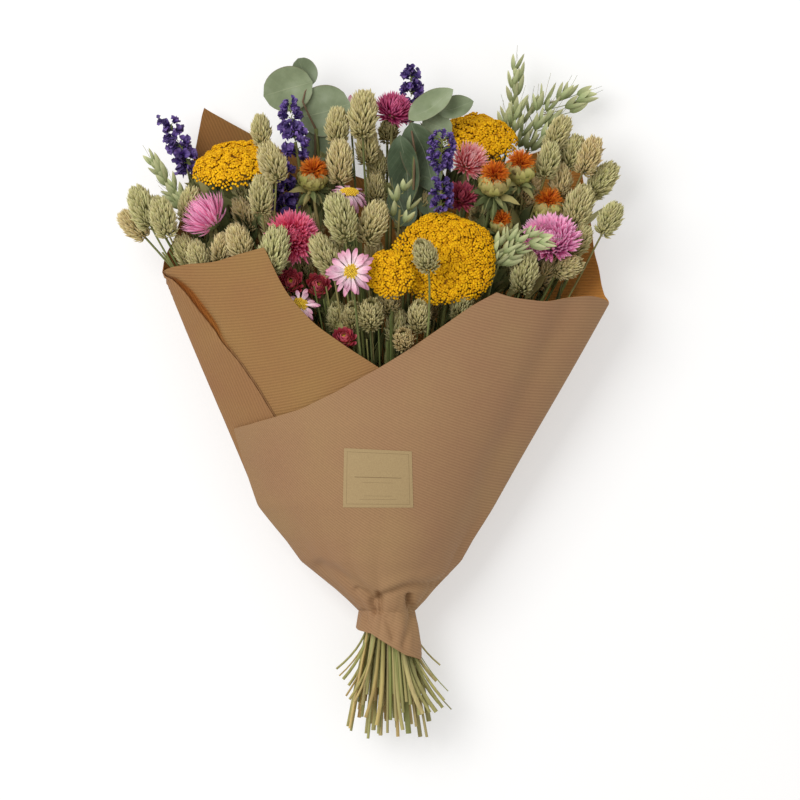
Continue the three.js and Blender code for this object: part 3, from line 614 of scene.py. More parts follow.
# How near points come to a line of points: 1 on it, fading over a width
def nearLine(xy, line, width):
    line = np.array(line, float)
    a, b = line[:-1], line[1:]
    way = b - a
    share = np.clip(((xy[..., None, :] - a) * way).sum(-1) / (way ** 2).sum(-1), 0, 1)
    apart = np.linalg.norm(xy[..., None, :] - a - share[..., None] * way, axis=-1).min(-1)
    return np.exp(-(apart / width) ** 2)


# How far the paper stands off the cone: long waves, gathers at the waist, and the dents in front
def relief(wrap, point):
    k, y, turn = kraft, point[..., 1], np.radians(wrap)
    waves = k["waveDepth"] * np.sin(k["waves"] * turn + 0.02 * y) * smooth((y + 120) / 140)
    nearWaist = smooth((y + 215) / 40) * (1 - smooth((y + 150) / 75))
    gathers = np.abs(np.sin(k["gathers"] * turn + 1.3 * np.sin(3 * turn) + 0.03 * y)) - 0.6
    height = waves + k["gatherDepth"] * gathers * nearWaist
    front = smooth(np.sin(turn) * 3)
    for line, depth, width in k["dents"]:
        height = height - front * depth * nearLine(point[..., :2], line, width)
    return height


# The way off the cone, square to it
def offCone(wrap, y):
    about = conePoint(wrap + 0.5, y) - conePoint(wrap - 0.5, y)
    up = conePoint(wrap, y + 0.5) - conePoint(wrap, y - 0.5)
    return unit(np.cross(up, about))


# The level of the paper at a wrap angle, or another level where it doesn't reach
def paperLevel(wrap, y, beyond):
    face = conePoint(wrap, y)
    covered = (wrap > cone["upperEdge"][0, 0]) & (y < keyed(cone["upperEdge"], wrap) + 2)
    return np.where(covered, face[:, 2] + relief(wrap, face), beyond)


# How far to the side points are, and the levels of the paper in front of them and behind them
def paperRoom(points):
    x, y, _ = points.T
    reach = reachOf(x, y, cone["lapGap"])
    wrap = np.degrees(np.arccos(np.clip(reach, -0.999, 0.999)))
    far, floorLevel = 1e3, 0.3  # where no paper is in front of the plants, or under them
    front = np.minimum(paperLevel(wrap, y, far), paperLevel(wrap + 360, y, far) - cone["lapGap"] / 2)
    front = front - kraft["pleatRoom"] * nearLine(points[:, :2], kraft["crease"], kraft["pleatWidth"])
    return reach, front, paperLevel(360 - wrap, y, floorLevel)


# Which points lie inside the paper by a margin, clear of its mouth's left end
def insidePaper(points, margin):
    reach, front, back = paperRoom(points)
    enclosed = (np.abs(reach) < 0.97) & (points[:, 0] > kraft["mouthLeft"])
    return enclosed & (points[:, 2] < front - margin) & (points[:, 2] > back + margin)


# Parts of a plant, pressed flat where the paper holds them
def tucked(parts, margin=0.9):
    pressed = []
    for part, paint in parts:
        points = part["points"].copy()
        reach, front, back = paperRoom(points)
        held = (np.abs(reach) < 1.1) & (points[:, 1] > waist[1])
        z = np.minimum(np.maximum(points[:, 2], back + margin), front - margin)
        points[:, 2] = np.where(held, z, points[:, 2])
        pressed.append((dict(part, points=points), paint))
    return pressed


# The plants: x and y of each head, the way it faces, its size, and its tone or look
plants = dict(
    canary_grass=[
        (-190, 138, -0.7, 0.7, 0.1, 0.85, 0.75), (-182, 152, -0.35, 0.9, 0.15, 1.05, 0.1),
        (-165, 143, -0.25, 0.9, 0.3, 1, 0.2), (-146, 115, -0.4, 0.85, 0.3, 0.95, 0.3),
        (-104, 122, -0.3, 0.9, 0.3, 0.95, 0.65), (-76, 117, 0.15, 0.95, 0.3, 1.15, 0.1),
        (-87, 161, 0, 1, 0.2, 0.95, 0.3), (-78, 186, -0.35, 0.9, 0.3, 1, 0.45),
        (-36, 113, -0.45, 0.85, 0.3, 1.05, 0.3), (-24, 142, -0.25, 0.9, 0.35, 1.2, 0.15),
        (-25, 188, 0, 1, 0.15, 1.05, 0.6), (-6, 226, 0.05, 1, 0.2, 1.15, 0.4),
        (2, 138, 0.3, 0.9, 0.35, 1.1, 0.45), (43, 111, -0.25, 0.7, 0.65, 0.9, 0.3),
        (0, 66, 0.05, 0.6, 0.8, 0.95, 0.35), (38, 64, 0.05, 0.75, 0.65, 0.85, 0.4),
        (26, 46, 0, 0.45, 0.9, 0.75, 0.8), (122, 100, 0.15, 0.9, 0.4, 1.05, 0.15),
        (191, 143, 0.45, 0.85, 0.1, 0.85, 0.1), (186, 175, 0.6, 0.75, 0.15, 1, 0.15),
        (175, 194, 0.35, 0.9, 0.15, 0.95, 0.8), (150, 212, 0.4, 0.9, 0.1, 0.9, 0.3),
        (166, 152, 0.3, 0.9, 0.2, 1.15, 0.3),
    ],
    yarrow=[
        (-108, 190, -0.2, 0.72, 0.65, 1, 0), (87, 211, 0.25, 0.75, 0.6, 0.82, 0),
        (65, 108, 0.08, 0.25, 0.95, 1, 0.09), (15, 98, -0.2, 0.2, 0.95, 0.55, 0),
    ],
    strawflower=[
        (-129, 142, -0.5, 0.4, 0.75, 0.95, "pink"), (-62, 128, 0.1, 0.25, 0.95, 1.05, "hotPink"),
        (-64, 92, 0, 0.3, 0.95, 0.62, "darkRed"), (-42, 90, 0.1, 0.3, 0.95, 0.55, "darkRed"),
        (18, 230, 0.25, 0.65, 0.7, 0.8, "magenta"), (143, 126, -0.1, 0.35, 0.93, 1.18, "violetPink"),
        (72, 160, 0.1, 0.4, 0.9, 0.7, "wine"), (78, 188, 0.3, 0.4, 0.85, 0.75, "peach"),
        (-21, 48, 0, 0.45, 0.9, 0.52, "darkRed"),
    ],
    paper_daisy=[
        (-17, 163, -0.1, 0.75, 0.65, 0.95, 0.5), (-15, 99, -0.15, 0.2, 0.97, 1, 0),
        (-56, 74, 0.15, 0.55, 0.8, 0.85, 0.35), (-18, 231, -0.3, 0.5, 0.8, 0.75, 0),
    ],
    larkspur=[
        (-153, 202, -0.43, 0.88, 0.15, 1.1, 0), (-62, 214, -0.15, 0.97, 0.15, 0.95, 0),
        (-69, 166, 0, 0.98, 0.25, 0.95, 0), (32, 243, 0, 1, 0.1, 0.9, 0), (56, 182, 0, 0.98, 0.25, 1.25, 1),
    ],
    safflower=[
        (98, 174, 0.05, 0.8, 0.6, 1, 0), (119, 184, 0.1, 0.9, 0.4, 0.95, 0),
        (142, 154, 0.15, 0.9, 0.4, 0.95, 0), (104, 140, 0, 0.75, 0.65, 0.7, 1),
        (-46, 178, 0.1, 0.8, 0.6, 0.95, 0),
    ],
    oat=[
        (114, 240, 0.06, 1, 0.05, 1.1, 0), (140, 232, 0.42, 0.9, 0.1, 1.2, 1),
        (114, 124, 0.55, 0.65, 0.5, 0.9, 1), (-164, 173, -0.6, 0.8, 0.1, 0.8, 0),
        (24, 158, 0.1, 0.9, 0.3, 0.8, 2),
    ],
    eucalyptus=[(-46, 226, -0.25, 0.95, 0.1, 1, 0), (40, 206, 0.12, 0.98, 0.1, 1, 1)],
)
nudge = dict(yarrow_03=(-6, 3, -4))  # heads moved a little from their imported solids
looksTo = dict(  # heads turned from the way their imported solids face
    yarrow_01=(-0.14, 0.88, 0.46), yarrow_02=(0.1, 0.78, 0.62), strawflower_01=(-0.6, 0.62, 0.5),
    paper_daisy_01=(0.05, 0.9, 0.44), safflower_03=(0, 0.95, 0.3), strawflower_06=(-0.08, 0.6, 0.79),
)
stemRadius = dict(
    canary_grass=1.15, yarrow=2.2, strawflower=1.6, paper_daisy=1.15, larkspur=1.7, safflower=1.9,
    oat=1.3, eucalyptus=2.1,
)


def smoothed(line, passes=2):
    line = np.array(line)
    for _ in range(passes):
        line[1:-1] = (line[:-2] + 2 * line[1:-1] + line[2:]) / 4
    return line


def nodeMesh(node):  # the points, in millimetres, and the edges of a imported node
    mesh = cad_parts[node].data
    points = np.empty(len(mesh.vertices) * 3, np.float32)
    mesh.vertices.foreach_get("co", points)
    edges = np.empty(len(mesh.edges) * 2, np.int32)
    mesh.edges.foreach_get("vertices", edges)
    return points.reshape(-1, 3) / mm, edges.reshape(-1, 2)


tracing = dict(levels=90, firstCut=0.6, reach=3, slack=1.5, passes=3, every=3)


# The middle line of a node's stem, where level planes cut its edges, followed from the cut end up:
# at each level only cuts near the straight way on are of this stem
def stemLine(points, edges, top, radius):
    t = tracing
    heights = np.linspace(points[:, 1].min() + t["firstCut"], top, t["levels"])
    a, b = points[edges[:, 0]], points[edges[:, 1]]
    line = []
    for height in heights:
        hit = (a[:, 1] - height) * (b[:, 1] - height) < 0
        share = (height - a[hit, 1]) / (b[hit, 1] - a[hit, 1])
        cuts = a[hit] + share[:, None] * (b[hit] - a[hit])
        if len(line) > 1:
            guess = 2 * line[-1] - line[-2]
            apart = np.hypot(cuts[:, 0] - guess[0], cuts[:, 2] - guess[2])
            cuts = cuts[apart < t["reach"] * radius + t["slack"]]
        if len(cuts) < 3:
            break
        line.append(cuts.mean(0))
    line = smoothed(line, t["passes"])[::t["every"]]
    line[0, 1] -= t["firstCut"]
    return line


# The way out from the z axis at a turn. A head is made with z the way it faces and its middle at 0
def radial(turn):
    return np.stack([np.cos(turn), np.sin(turn), np.zeros_like(turn)], -1)


# Petals in rings round the axis: each leans from it by `lean`, from a base at `reach` and `height`
def whorl(shape, turn, lean, reach, height, size, tone, luck, inward=True):
    out = radial(turn)
    along = np.cos(lean)[:, None] * zAxis + np.sin(lean)[:, None] * out
    normal = np.sin(lean)[:, None] * zAxis - np.cos(lean)[:, None] * out
    base = reach[:, None] * out + height[:, None] * zAxis
    return stamp(shape, base, along, normal if inward else -normal, size, tone, luck)


# A rod of length 1 along y, for stamping, whose section and bow are counted in radii
def rod(bow, radius, sides):
    thin = np.array([0.01, 1, 0.01])
    line = np.stack([0 * bow, np.linspace(0, 1, len(bow)), bow], -1)
    made = stem(line * thin, np.asarray(radius) * thin[0], sides, 0.0)
    return dict(made, points=made["points"] / thin)


rodShape = rod(1.5 * np.sin(np.linspace(0, np.pi, 6)), np.linspace(1, 0.7, 6), 5)


# Twigs: rods from each base, as long as the way they run
def rods(base, way, normal, radius, tone, luck):
    size = np.linalg.norm(way, axis=1)[:, None] * yAxis + radius * (xAxis + zAxis)
    return stamp(rodShape, base, way, normal, size, tone, luck)


canaryGrass = dict(
    halfLength=17.5, radius=9, glumes=440, length=7.4, width=1.9, thickness=0.62, flare=0.42, core=0.76,
    lowest=-0.94, highest=0.72, crowding=0.92, coreLength=15.5, coreRadius=6,
    profile=np.array([[-1, 0.2], [-0.72, 0.68], [-0.2, 1], [0.35, 0.84], [0.78, 0.46], [1, 0.05]]),
    coreProfile=np.array([[-1, 0], [-0.85, 0.5], [-0.5, 0.92], [-0.1, 1], [0.4, 0.8], [0.8, 0.4], [1, 0]]),
)
glumeShape = blade(3, 3, belly=0.38, point=1.05, thick=0.14, keel=0.5, bend=0.12)


# Glumes in a golden spiral on an egg, each leaning off it towards the tip
def grassHead(rng, size, tone):
    g = canaryGrass
    n = int(g["glumes"] * size ** 0.8)
    k = (np.arange(n) + 0.5) / n
    height = mix(g["lowest"], g["highest"], k ** g["crowding"])
    r = keyed(g["profile"], height) * g["radius"] * g["core"]
    growth = (keyed(g["profile"], height + 0.1) - keyed(g["profile"], height - 0.1)) / 0.2
    slope = growth * g["radius"] * g["core"]
    turn = np.arange(n) * golden + rng.normal(0, 0.14, n)
    out = radial(turn)
    rise = unit(np.stack([slope, np.full(n, g["halfLength"])], -1))
    tangent = rise[:, :1] * out + rise[:, 1:] * zAxis
    outward = rise[:, 1:] * out - rise[:, :1] * zAxis
    flare = g["flare"] * (1 + rng.normal(0, 0.4, n)) + 0.35 * smooth((0.2 - k) * 4)
    along = np.cos(flare)[:, None] * tangent + np.sin(flare)[:, None] * outward
    normal = np.cos(flare)[:, None] * outward - np.sin(flare)[:, None] * tangent
    normal = normal + rng.normal(0, 0.16, (n, 3))
    length = g["length"] * (0.8 + 0.25 * np.sin(np.pi * k)) * rng.uniform(0.86, 1.16, n)
    width = g["width"] * rng.uniform(0.85, 1.15, n)
    sizes = np.stack([width, length, length * g["thickness"]], -1) * size ** 0.5
    base = (r[:, None] * out + (height * g["halfLength"])[:, None] * zAxis) * size
    tones = np.clip(tone + rng.normal(0, 0.09, n), 0, 1)
    scales = stamp(glumeShape, base, along, normal, sizes, tones, rng.random(n))
    heights, radii = g["coreProfile"].T
    core = turned(radii * g["coreRadius"] * size, heights * g["coreLength"] * size, 10)
    return [(scales, finish["glume"]), (single(core), finish["core"])]


yarrow = dict(
    radius=36.5, depth=8, florets=1350, floretRadius=1.2, clusters=48, clusterRise=1.5, clusterLuck=0.7,
    seamWidth=0.7, seamDepth=0.8, rimFrom=0.9, rimDrop=5.5, neck=-12.0, twig=0.75,
    bedRings=np.array([0, 0.3, 0.6, 0.8, 0.88, 0.85, 0.6, 0.25, 0]),
    bedHeights=[-10.2, -8.7, -6.2, -4.7, -3.6, -1.0, 3.4, 5.2, 5.6],
)
floretShape = turned([0, 0.5, 1.0, 0.8, 0], [-1.1, -0.5, 0.15, 0.6, 0.72], 8, 4, 0.1)


# Florets in a sunflower spiral, radius * sqrt(k), on a dome of depth * (1 - edge^2.4). Each belongs to
# the nearest cluster, which is a dome of its own, with seams between clusters, on a bed and twigs
def yarrowHead(rng, size, extra):
    y = yarrow
    size = size * (1 + extra)
    n, m = int(y["florets"] * size ** 2), max(5, int(y["clusters"] * size ** 2))
    radius = y["radius"] * size
    k = (np.arange(n) + 0.5) / n
    flat = radius * np.sqrt(k)[:, None] * radial(np.arange(n) * golden)[:, :2]
    q = (np.arange(m) + 0.5) / m
    seeds = radius * 0.93 * np.sqrt(q)[:, None] * radial(np.arange(m) * golden + 1)[:, :2]
    seeds = seeds + rng.normal(0, radius * 0.035, (m, 2))
    apart = np.linalg.norm(flat[:, None] - seeds[None], axis=2)
    order = np.argsort(apart, axis=1)
    rows = np.arange(n)
    nearest, gap = order[:, 0], apart[rows, order[:, 1]] - apart[rows, order[:, 0]]
    spread = radius / np.sqrt(m)
    offset = (flat - seeds[nearest]) / spread
    flat = seeds[nearest] + (flat - seeds[nearest]) * 0.95 + rng.normal(0, 0.3, (n, 2))
    edge = np.linalg.norm(flat, axis=1) / radius
    bearing = np.arctan2(flat[:, 1], flat[:, 0])
    flat = flat * (1 + 0.05 * np.cos(2 * bearing + n) + 0.035 * np.sin(5 * bearing + n))[:, None]
    clusterLift = rng.normal(0, y["clusterLuck"], m)
    dome = y["clusterRise"] * (1 - np.minimum(1, (offset ** 2).sum(1)))
    lift = dome + clusterLift[nearest] + rng.normal(0, 0.22, n)
    rim = y["rimDrop"] * smooth((edge - y["rimFrom"]) / 0.14)
    height = y["depth"] * (1 - edge ** 2.4) - y["clusterRise"] + lift - rim
    height = height - y["seamDepth"] * smooth((y["seamWidth"] - gap) / y["seamWidth"])
    tilt = np.concatenate([flat / radius * edge[:, None] ** 1.4 * 1.1 + offset * 0.3, np.ones((n, 1))], 1)
    up = unit(tilt + rng.normal(0, 0.08, (n, 3)))
    turn = rng.uniform(0, 2 * np.pi, n)
    side = np.cross(up, radial(turn))
    base = np.concatenate([flat, height[:, None]], 1)
    bud = y["floretRadius"] * rng.uniform(0.86, 1.12, n)
    florets = stamp(floretShape, base, side, up, bud, 0.5, rng.random(n))
    bed = single(turned(y["bedRings"] * radius, y["bedHeights"], 26, 9, 0.04))
    ends = np.concatenate([seeds, mix(-5.0, -3.5, np.linalg.norm(seeds, axis=1) / radius)[:, None]], 1)
    neck = np.array([0, 0, y["neck"]]) + 0 * ends
    twigs = rods(neck, ends - neck, radial(rng.uniform(0, 6, m)), y["twig"], 0.5, rng.random(m))
    return [(florets, finish["yarrowFloret"]), (bed, finish["yarrowBed"]), (twigs, finish["yarrowStalk"])]


strawflower = dict(
    radius=19, cup=0.34, cupRings=np.array([0, 0.5, 0.9, 1, 0.7, 0]),
    cupHeights=[-9, -8, -5.5, -2.5, -1, -0.6],
)
strawShapes = dict(
    narrow=blade(4, 3, belly=0.42, point=0.8, thick=0.045, cup=0.05, bend=0.55),
    blunt=blade(4, 3, belly=0.6, point=0.55, thick=0.045, cup=0.12, bend=0.75),
    broad=blade(5, 5, belly=0.55, point=0.55, thick=0.05, cup=0.16, bend=1.15),
)
strawLooks = dict(  # bracts, width, lean of the innermost and outermost, shape, disc radius, reach
    pink=(150, 2.1, 0.05, 1.2, "narrow", 0, 1.5), hotPink=(420, 2.3, 0.1, 1.7, "blunt", 0, 1.2),
    violetPink=(430, 2.6, 0.2, 1.6, "blunt", 2.4, 1.2), peach=(200, 2.0, 0.1, 1.3, "narrow", 0, 1.4),
    magenta=(280, 2.3, 0.1, 1.55, "narrow", 0, 1.25), wine=(150, 2.6, 0.1, 1.4, "narrow", 0, 1.2),
    darkRed=(56, 5.4, 0.3, 1.4, "broad", 3.4, 1.15),
)


# Bracts in a golden spiral, upright and short inside, lying out and long outside
def strawHead(rng, size, look):
    n, width, inner, outer, shape, disc, spread = strawLooks[look]
    radius = strawflower["radius"] * size * spread
    k = (np.arange(n) + 0.5) / n
    lean = mix(inner, outer, k ** 0.8) + rng.normal(0, 0.09, n)
    turn = np.arange(n) * golden + rng.normal(0, 0.08, n)
    start = disc * size if disc else 0.6
    reach = mix(start, radius * 0.2 + start, np.sqrt(k))
    height = mix(0.5, -5.0, k)
    length = (radius - reach * 0.8) * mix(0.5 if disc else 0.76, 1.0, k ** 0.5) * rng.uniform(0.9, 1.06, n)
    if shape == "broad":
        length = length * mix(0.75, 1.25, k)
    sizes = np.stack([width * size ** 0.3 * rng.uniform(0.8, 1.2, n), length, length], -1)
    bracts = whorl(strawShapes[shape], turn, lean, reach, height, sizes, 0.5, rng.random(n))
    cup = turned(strawflower["cupRings"] * radius * strawflower["cup"], strawflower["cupHeights"], 12)
    parts = [(bracts, finish[look]), (single(cup), finish["leaf"])]
    if disc:
        parts.append((discOf(rng, disc * 1.1 * size, 1.2, 60), finish["daisyDisc"]))
    return parts


budShape = turned([0, 0.8, 1.0, 0.6, 0], [-1.0, -0.4, 0.3, 0.85, 1.0], 6)


# A dome of small florets in a sunflower spiral, rise * (1 - k) high
def discOf(rng, radius, rise, n):
    k = (np.arange(n) + 0.5) / n
    out = radial(np.arange(n) * golden)
    base = out * (radius * np.sqrt(k))[:, None] + zAxis * (rise * (1 - k) + 0.2)[:, None]
    up = unit(zAxis + out * (k * 0.7)[:, None])
    bud = radius / np.sqrt(n) * 0.98 * rng.uniform(0.85, 1.15, n)
    return stamp(budShape, base, np.cross(up, xAxis), up, bud, 0.5, rng.random(n))


paperDaisy = dict(
    radius=20, petals=38, width=4.0, disc=6.2, innerLean=1.0, outerLean=1.75, untidy=0.27,
    cupRings=np.array([0, 3, 5, 4.5, 0]), cupHeights=[-5.5, -4.5, -2, -0.4, 0.2],
)
daisyShape = blade(
    6, 5, belly=0.66, point=0.5, thick=0.03, cup=0.07, bend=-0.35, crinkle=0.05, ripples=7,
    blunt=True,
)


# Two rows and a half of blunt petals, wavy and drooping a little, round a bumpy disc
def daisyHead(rng, size, droop):
    d = paperDaisy
    n = int(d["petals"] * size ** 0.5)
    k = (np.arange(n) + 0.5) / n
    turn = np.arange(n) * golden + rng.normal(0, 0.1, n)
    lean = mix(d["innerLean"], d["outerLean"], k) + rng.normal(0, d["untidy"], n) + droop
    length = (d["radius"] - 3) * size * mix(0.82, 1.0, k) * rng.uniform(0.7, 1.1, n)
    width = d["width"] * size * rng.uniform(0.8, 1.15, n)
    sizes = np.stack([width, length, length * rng.uniform(0.6, 1.5, n)], -1)
    reach, height = mix(3.6, 4.6, k) * size, mix(0.8, -1.2, k)
    petals = whorl(daisyShape, turn, lean, reach, height, sizes, 0.5, rng.random(n))
    cup = turned(d["cupRings"] * size, d["cupHeights"], 12)
    disc = discOf(rng, d["disc"] * size * (1 + 0.6 * droop), 2.2, 110)
    return [(petals, finish["daisyPetal"]), (disc, finish["daisyDisc"]), (single(cup), finish["leaf"])]


larkspur = dict(florets=20, dense=48, floret=9.8, denseFloret=0.66, sepals=7, stalk=0.45)
sepal = dict(belly=0.62, point=0.5, thick=0.03, cup=0.45, crinkle=0.2, ripples=9)
sepalBends = dict(outward=(0.9, 0.3), back=(-0.6, 2.1), curled=(1.5, 4.4))  # radians, and ripple seed
sepalShapes = [blade(5, 4, bend=bend, seed=seed, **sepal) for bend, seed in sepalBends.values()]


# Florets in a loose spiral up the spike, each of seven crumpled sepals facing out on a stalk
def larkspurHead(rng, size, dense):
    s = larkspur
    n = s["dense"] if dense else s["florets"]
    k = (np.arange(n) + 0.5) / n
    if dense:  # a thick cluster at the top and a few loose ones below
        height = np.where(k > 0.3, mix(-2, 22, (k - 0.3) / 0.7), mix(-27, -8, k / 0.3)) * size
        girth = np.where(k > 0.3, 6.4 * np.sin(np.pi * np.clip((k - 0.3) / 0.8, 0.08, 1)) + 1.6, 3.4)
    else:
        height = mix(-24, 24, k) * size + rng.normal(0, 1.6, n)
        girth = mix(4.8, 2.4, k) * rng.uniform(0.7, 1.2, n)
    turn = np.arange(n) * golden * 1.03 + rng.normal(0, 0.3, n)
    out = radial(turn)
    base = out * girth[:, None] + zAxis * height[:, None]
    way = unit(out + zAxis * rng.uniform(0.1, 0.7, n)[:, None])
    parts = []
    for j in range(s["sepals"]):  # the sepals of all the florets, one round after another
        spin = j * 2.1 + rng.normal(0, 0.5, n)
        u = unit(np.cross(way, zAxis))
        v = np.cross(u, way)
        side = np.cos(spin)[:, None] * u + np.sin(spin)[:, None] * v
        spread = rng.uniform(0.35, 1.25, n)[:, None]
        along = unit(np.cos(spread) * way + np.sin(spread) * side)
        floret = s["floret"] * (s["denseFloret"] if dense else 1)
        length = floret * mix(1.15, 0.75, k) * rng.uniform(0.7, 1.15, n)
        sizes = np.stack([length * rng.uniform(0.36, 0.75, n), length, length], -1)
        facing = way + rng.normal(0, 0.3, (n, 3))
        sepals = stamp(sepalShapes[j % len(sepalShapes)], base, along, facing, sizes, 0.5, rng.random(n))
        parts.append((sepals, finish["larkspur"]))
    foot = zAxis * (height - 3)[:, None]
    stalks = rods(foot, base - foot, zAxis + xAxis * 0.3, s["stalk"], 0.4, rng.random(n) * 0.4)
    return parts + [(stalks, finish["stalk"])]


safflower = dict(
    bulb=12.2, bracts=30, bract=(8.6, 10.5, 10.5), threads=460, thread=9.8, threadRadius=0.3, mouth=3.8,
    leaves=20, leafFoot=-14.5,
    profile=np.array([  # height, and radius in bulbs
        [-15, 0], [-13.5, 0.55], [-9, 0.9], [-5, 0.97], [0, 0.8], [3.5, 0.5], [4.5, 0],
    ]),
    bractProfile=np.array([[-15, 0.15], [-13.5, 0.5], [-9, 0.88], [-5, 0.97], [-1, 0.86]]),
)
bractShape = blade(5, 5, belly=0.42, point=0.62, thick=0.05, cup=-0.1, bend=1.25)
threadShape = rod(5 * np.linspace(0, 1, 6) ** 2, [0.8, 1, 1.1, 1.1, 1.3, 0.3], 3)
spineShape = blade(
    4, 4, belly=0.35, point=0.9, thick=0.05, cup=-0.2, keel=0.2, bend=-0.9, crinkle=0.03,
)


# A bulb of overlapping bracts, a brush of threads out of its mouth, and spiny leaves under it
def safflowerHead(rng, size, worn):
    s = safflower
    bulb = s["bulb"] * size
    heights, radii = s["profile"].T
    core = turned(radii * bulb, heights * size, 14)
    n = s["bracts"]
    k = (np.arange(n) + 0.5) / n
    turn = np.arange(n) * golden
    height = mix(-2.5, -14.2, k) * size
    reach = keyed(s["bractProfile"], height / size) * bulb
    lean = mix(0.12, 1.05, k) + rng.normal(0, 0.05, n)
    bracts = whorl(bractShape, turn, lean, reach, height, np.array(s["bract"]) * size, 0.5, rng.random(n))
    m = int(s["threads"] * (0.5 if worn else 1))
    q = (np.arange(m) + 0.5) / m
    lean = 1.38 * np.sqrt(q) + rng.normal(0, 0.3, m)
    length = s["thread"] * size * rng.uniform(0.6, 1.15, m) * mix(1.15, 0.8, q)
    girth = np.full(m, s["threadRadius"])
    threads = whorl(threadShape, np.arange(m) * golden, lean, s["mouth"] * size * np.sqrt(q),
                    mix(4.6, 2.6, q) * size, np.stack([girth, length, girth], -1), 0.5, rng.random(m),
                    inward=False)
    p = s["leaves"]
    lean = rng.uniform(0.7, 2.0, p)
    long = rng.uniform(12, 22, p) * size
    foot = np.full(p, s["leafFoot"] * size)
    leaves = whorl(spineShape, np.arange(p) * golden, lean, np.full(p, 3.0), foot,
                   np.stack([long * 0.34, long, long], -1), 0.5, rng.random(p))
    return [(single(core), finish["safflowerBract"]), (bracts, finish["safflowerBract"]),
            (threads, finish["safflowerBrush"]), (leaves, finish["leaf"])]


oat = dict(husk=18.5, width=5.6, spread=1.45, awn=0.16, twig=0.4, lowestFork=-34)
huskShape = blade(6, 5, belly=0.42, point=0.75, thick=0.07, cup=0.12, keel=0.22, bend=0.22)
oatSprays = [  # along, right, forward: where each spikelet hangs, and how far it leans out
    [(29, 0.7, 0, 0.02), (22, 2, 0, 0.1), (17, -0.5, 1, 0.1), (12, 1.8, 0, 0.1), (6, -0.5, 1, 0.1),
     (-2, 3.5, 0, 0.2), (-7, 1.1, 1, 0.1), (-9, -2.4, 0, 0.15), (-13, -4.2, 0, 0.15), (-19, 0.7, 1, 0.1),
     (-20, -4.4, -1, 0.2), (-15, 2.8, 0, 0.2)],
    [(24, 14, 0, 1.2), (21, 15, 1, 0.8), (14, 11, 1, 0.8), (13, 13, -1, 0.5), (18, 4, 0, 0.1),
     (20, 6, -1, 0.15), (12, -3, 1, 0.1), (5, -5, 2, 0.3), (1, -7, 0, 0.25), (-7, -8, 0, 0.2),
     (-14, -5, 1, 0.1), (-7, -0.5, 2, 0.1), (0, 4, 0, 0.2), (-1, 7, -1, 0.4), (-2, 1, 2, 0.05),
     (8, 1, 1, 0.05), (-10, 5, 1, 0.2), (-16, 6, -1, 0.3), (-19, 3, 0, 0.1), (-21, -0.5, 2, 0.02),
     (-21, -4, 0, 0.1)],
    [(-16, 6, 3, 0.5), (-10, -6, 4, 0.5), (-2, 8, 2, 0.4), (6, -5, 3, 0.4), (16, 2, 2, 0.2)],
]


# Spikelets of two husks and an awn, hanging on thin twigs beside the top of the stem
def oatHead(rng, size, spray):
    table = np.array(oatSprays[spray], float)
    n = len(table)
    middle = np.stack([-table[:, 1] * oat["spread"], table[:, 2], table[:, 0]], -1) * size
    out = unit(middle * [1, 1, 0] + rng.normal(0, 0.05, (n, 3)) * [1, 1, 0])
    way = unit(zAxis + out * table[:, 3:4] + rng.normal(0, 0.07, (n, 3)))
    long = oat["husk"] * size ** 0.5 * rng.uniform(0.85, 1.12, n)
    foot = middle - way * long[:, None] / 2
    sizes = np.stack([np.full(n, oat["width"]), long, long], -1)
    parts = []
    aside = unit(np.cross(way, yAxis))
    for turn, short in ((1, 1.0), (-1, 0.86)):
        face = unit(yAxis + aside * turn * 0.7 + rng.normal(0, 0.25, (n, 3)))
        husks = stamp(huskShape, foot, way + aside * turn * 0.2, face, sizes * short, 0.5, rng.random(n))
        parts.append((husks, finish["oatHusk"]))
    hair = np.full(n, oat["awn"])
    awnWay, awnSize = way + rng.normal(0, 0.06, (n, 3)), np.stack([hair, long * 0.95, hair], -1)
    awns = stamp(rodShape, foot + way * long[:, None] * 0.3, awnWay, out, awnSize, 0.9, rng.random(n))
    forkHeight = middle[:, 2] - long / 2 - np.abs(table[:, 1]) * 0.8 * size
    fork = np.maximum(forkHeight, oat["lowestFork"] * size)[:, None] * zAxis
    twigs = rods(fork, foot - fork, out, oat["twig"], 0.9, rng.random(n))
    return parts + [(awns, finish["stalk"]), (twigs, finish["stalk"])]


eucalyptus = dict(
    twigRadii=[1.1, 1, 0.8, 0.7, 0.6, 0.4],
    twigs=[  # right, up and forward of the sprig's middle
        [(1, -34, 3), (1.5, -10, 4), (-4, 1, 4), (-9, 12, 3.5), (-7, 20, 1), (-3, 27, -1)],
        [(-6, -40, 2), (-5, -10, 3), (-7, 4, 0), (-9, 14, -3), (-4, 20, -7), (8, 24, -9)],
    ],
    # each leaf's base (right, up, forward), the way it points in degrees, its length and width,
    # the tilt of its face to the right and up, its tone, and its shape
    leaves=[
        [(-1, 28, 1, 196, 42, 37, 0.05, -0.1, 0.95, "round"),
         (-2, 25, -3, 118, 25, 21, 0.2, 0.1, 0.55, "round"),
         (-12, -1, -2, 14, 44, 43, 0.15, 0.2, 0.75, "round"),
         (-4, -12, 0, -62, 27, 25, 0, -0.3, 0.6, "round")],
        [(-10, 16, 3, 36, 44, 22, -0.2, 0.3, 1.0, "folded"),
         (13, 22, -3, 18, 31, 19, 0.2, 0.2, 0.7, "folded"),
         (1, 16, -6, -22, 26, 21, 0.1, 0.1, 0.8, "round"),
         (-8, 14, 1, -73, 60, 34, -0.35, 0.1, 0.15, "folded"),
         (-17, 4, 2, -84, 58, 27, -0.3, 0, 0.05, "folded"),
         (1, -28, -3, -78, 36, 22, 0.2, -0.1, 0.3, "folded"),
         (-21, -38, -3, -70, 34, 24, 0.1, -0.2, 0.1, "round")],
    ],
)
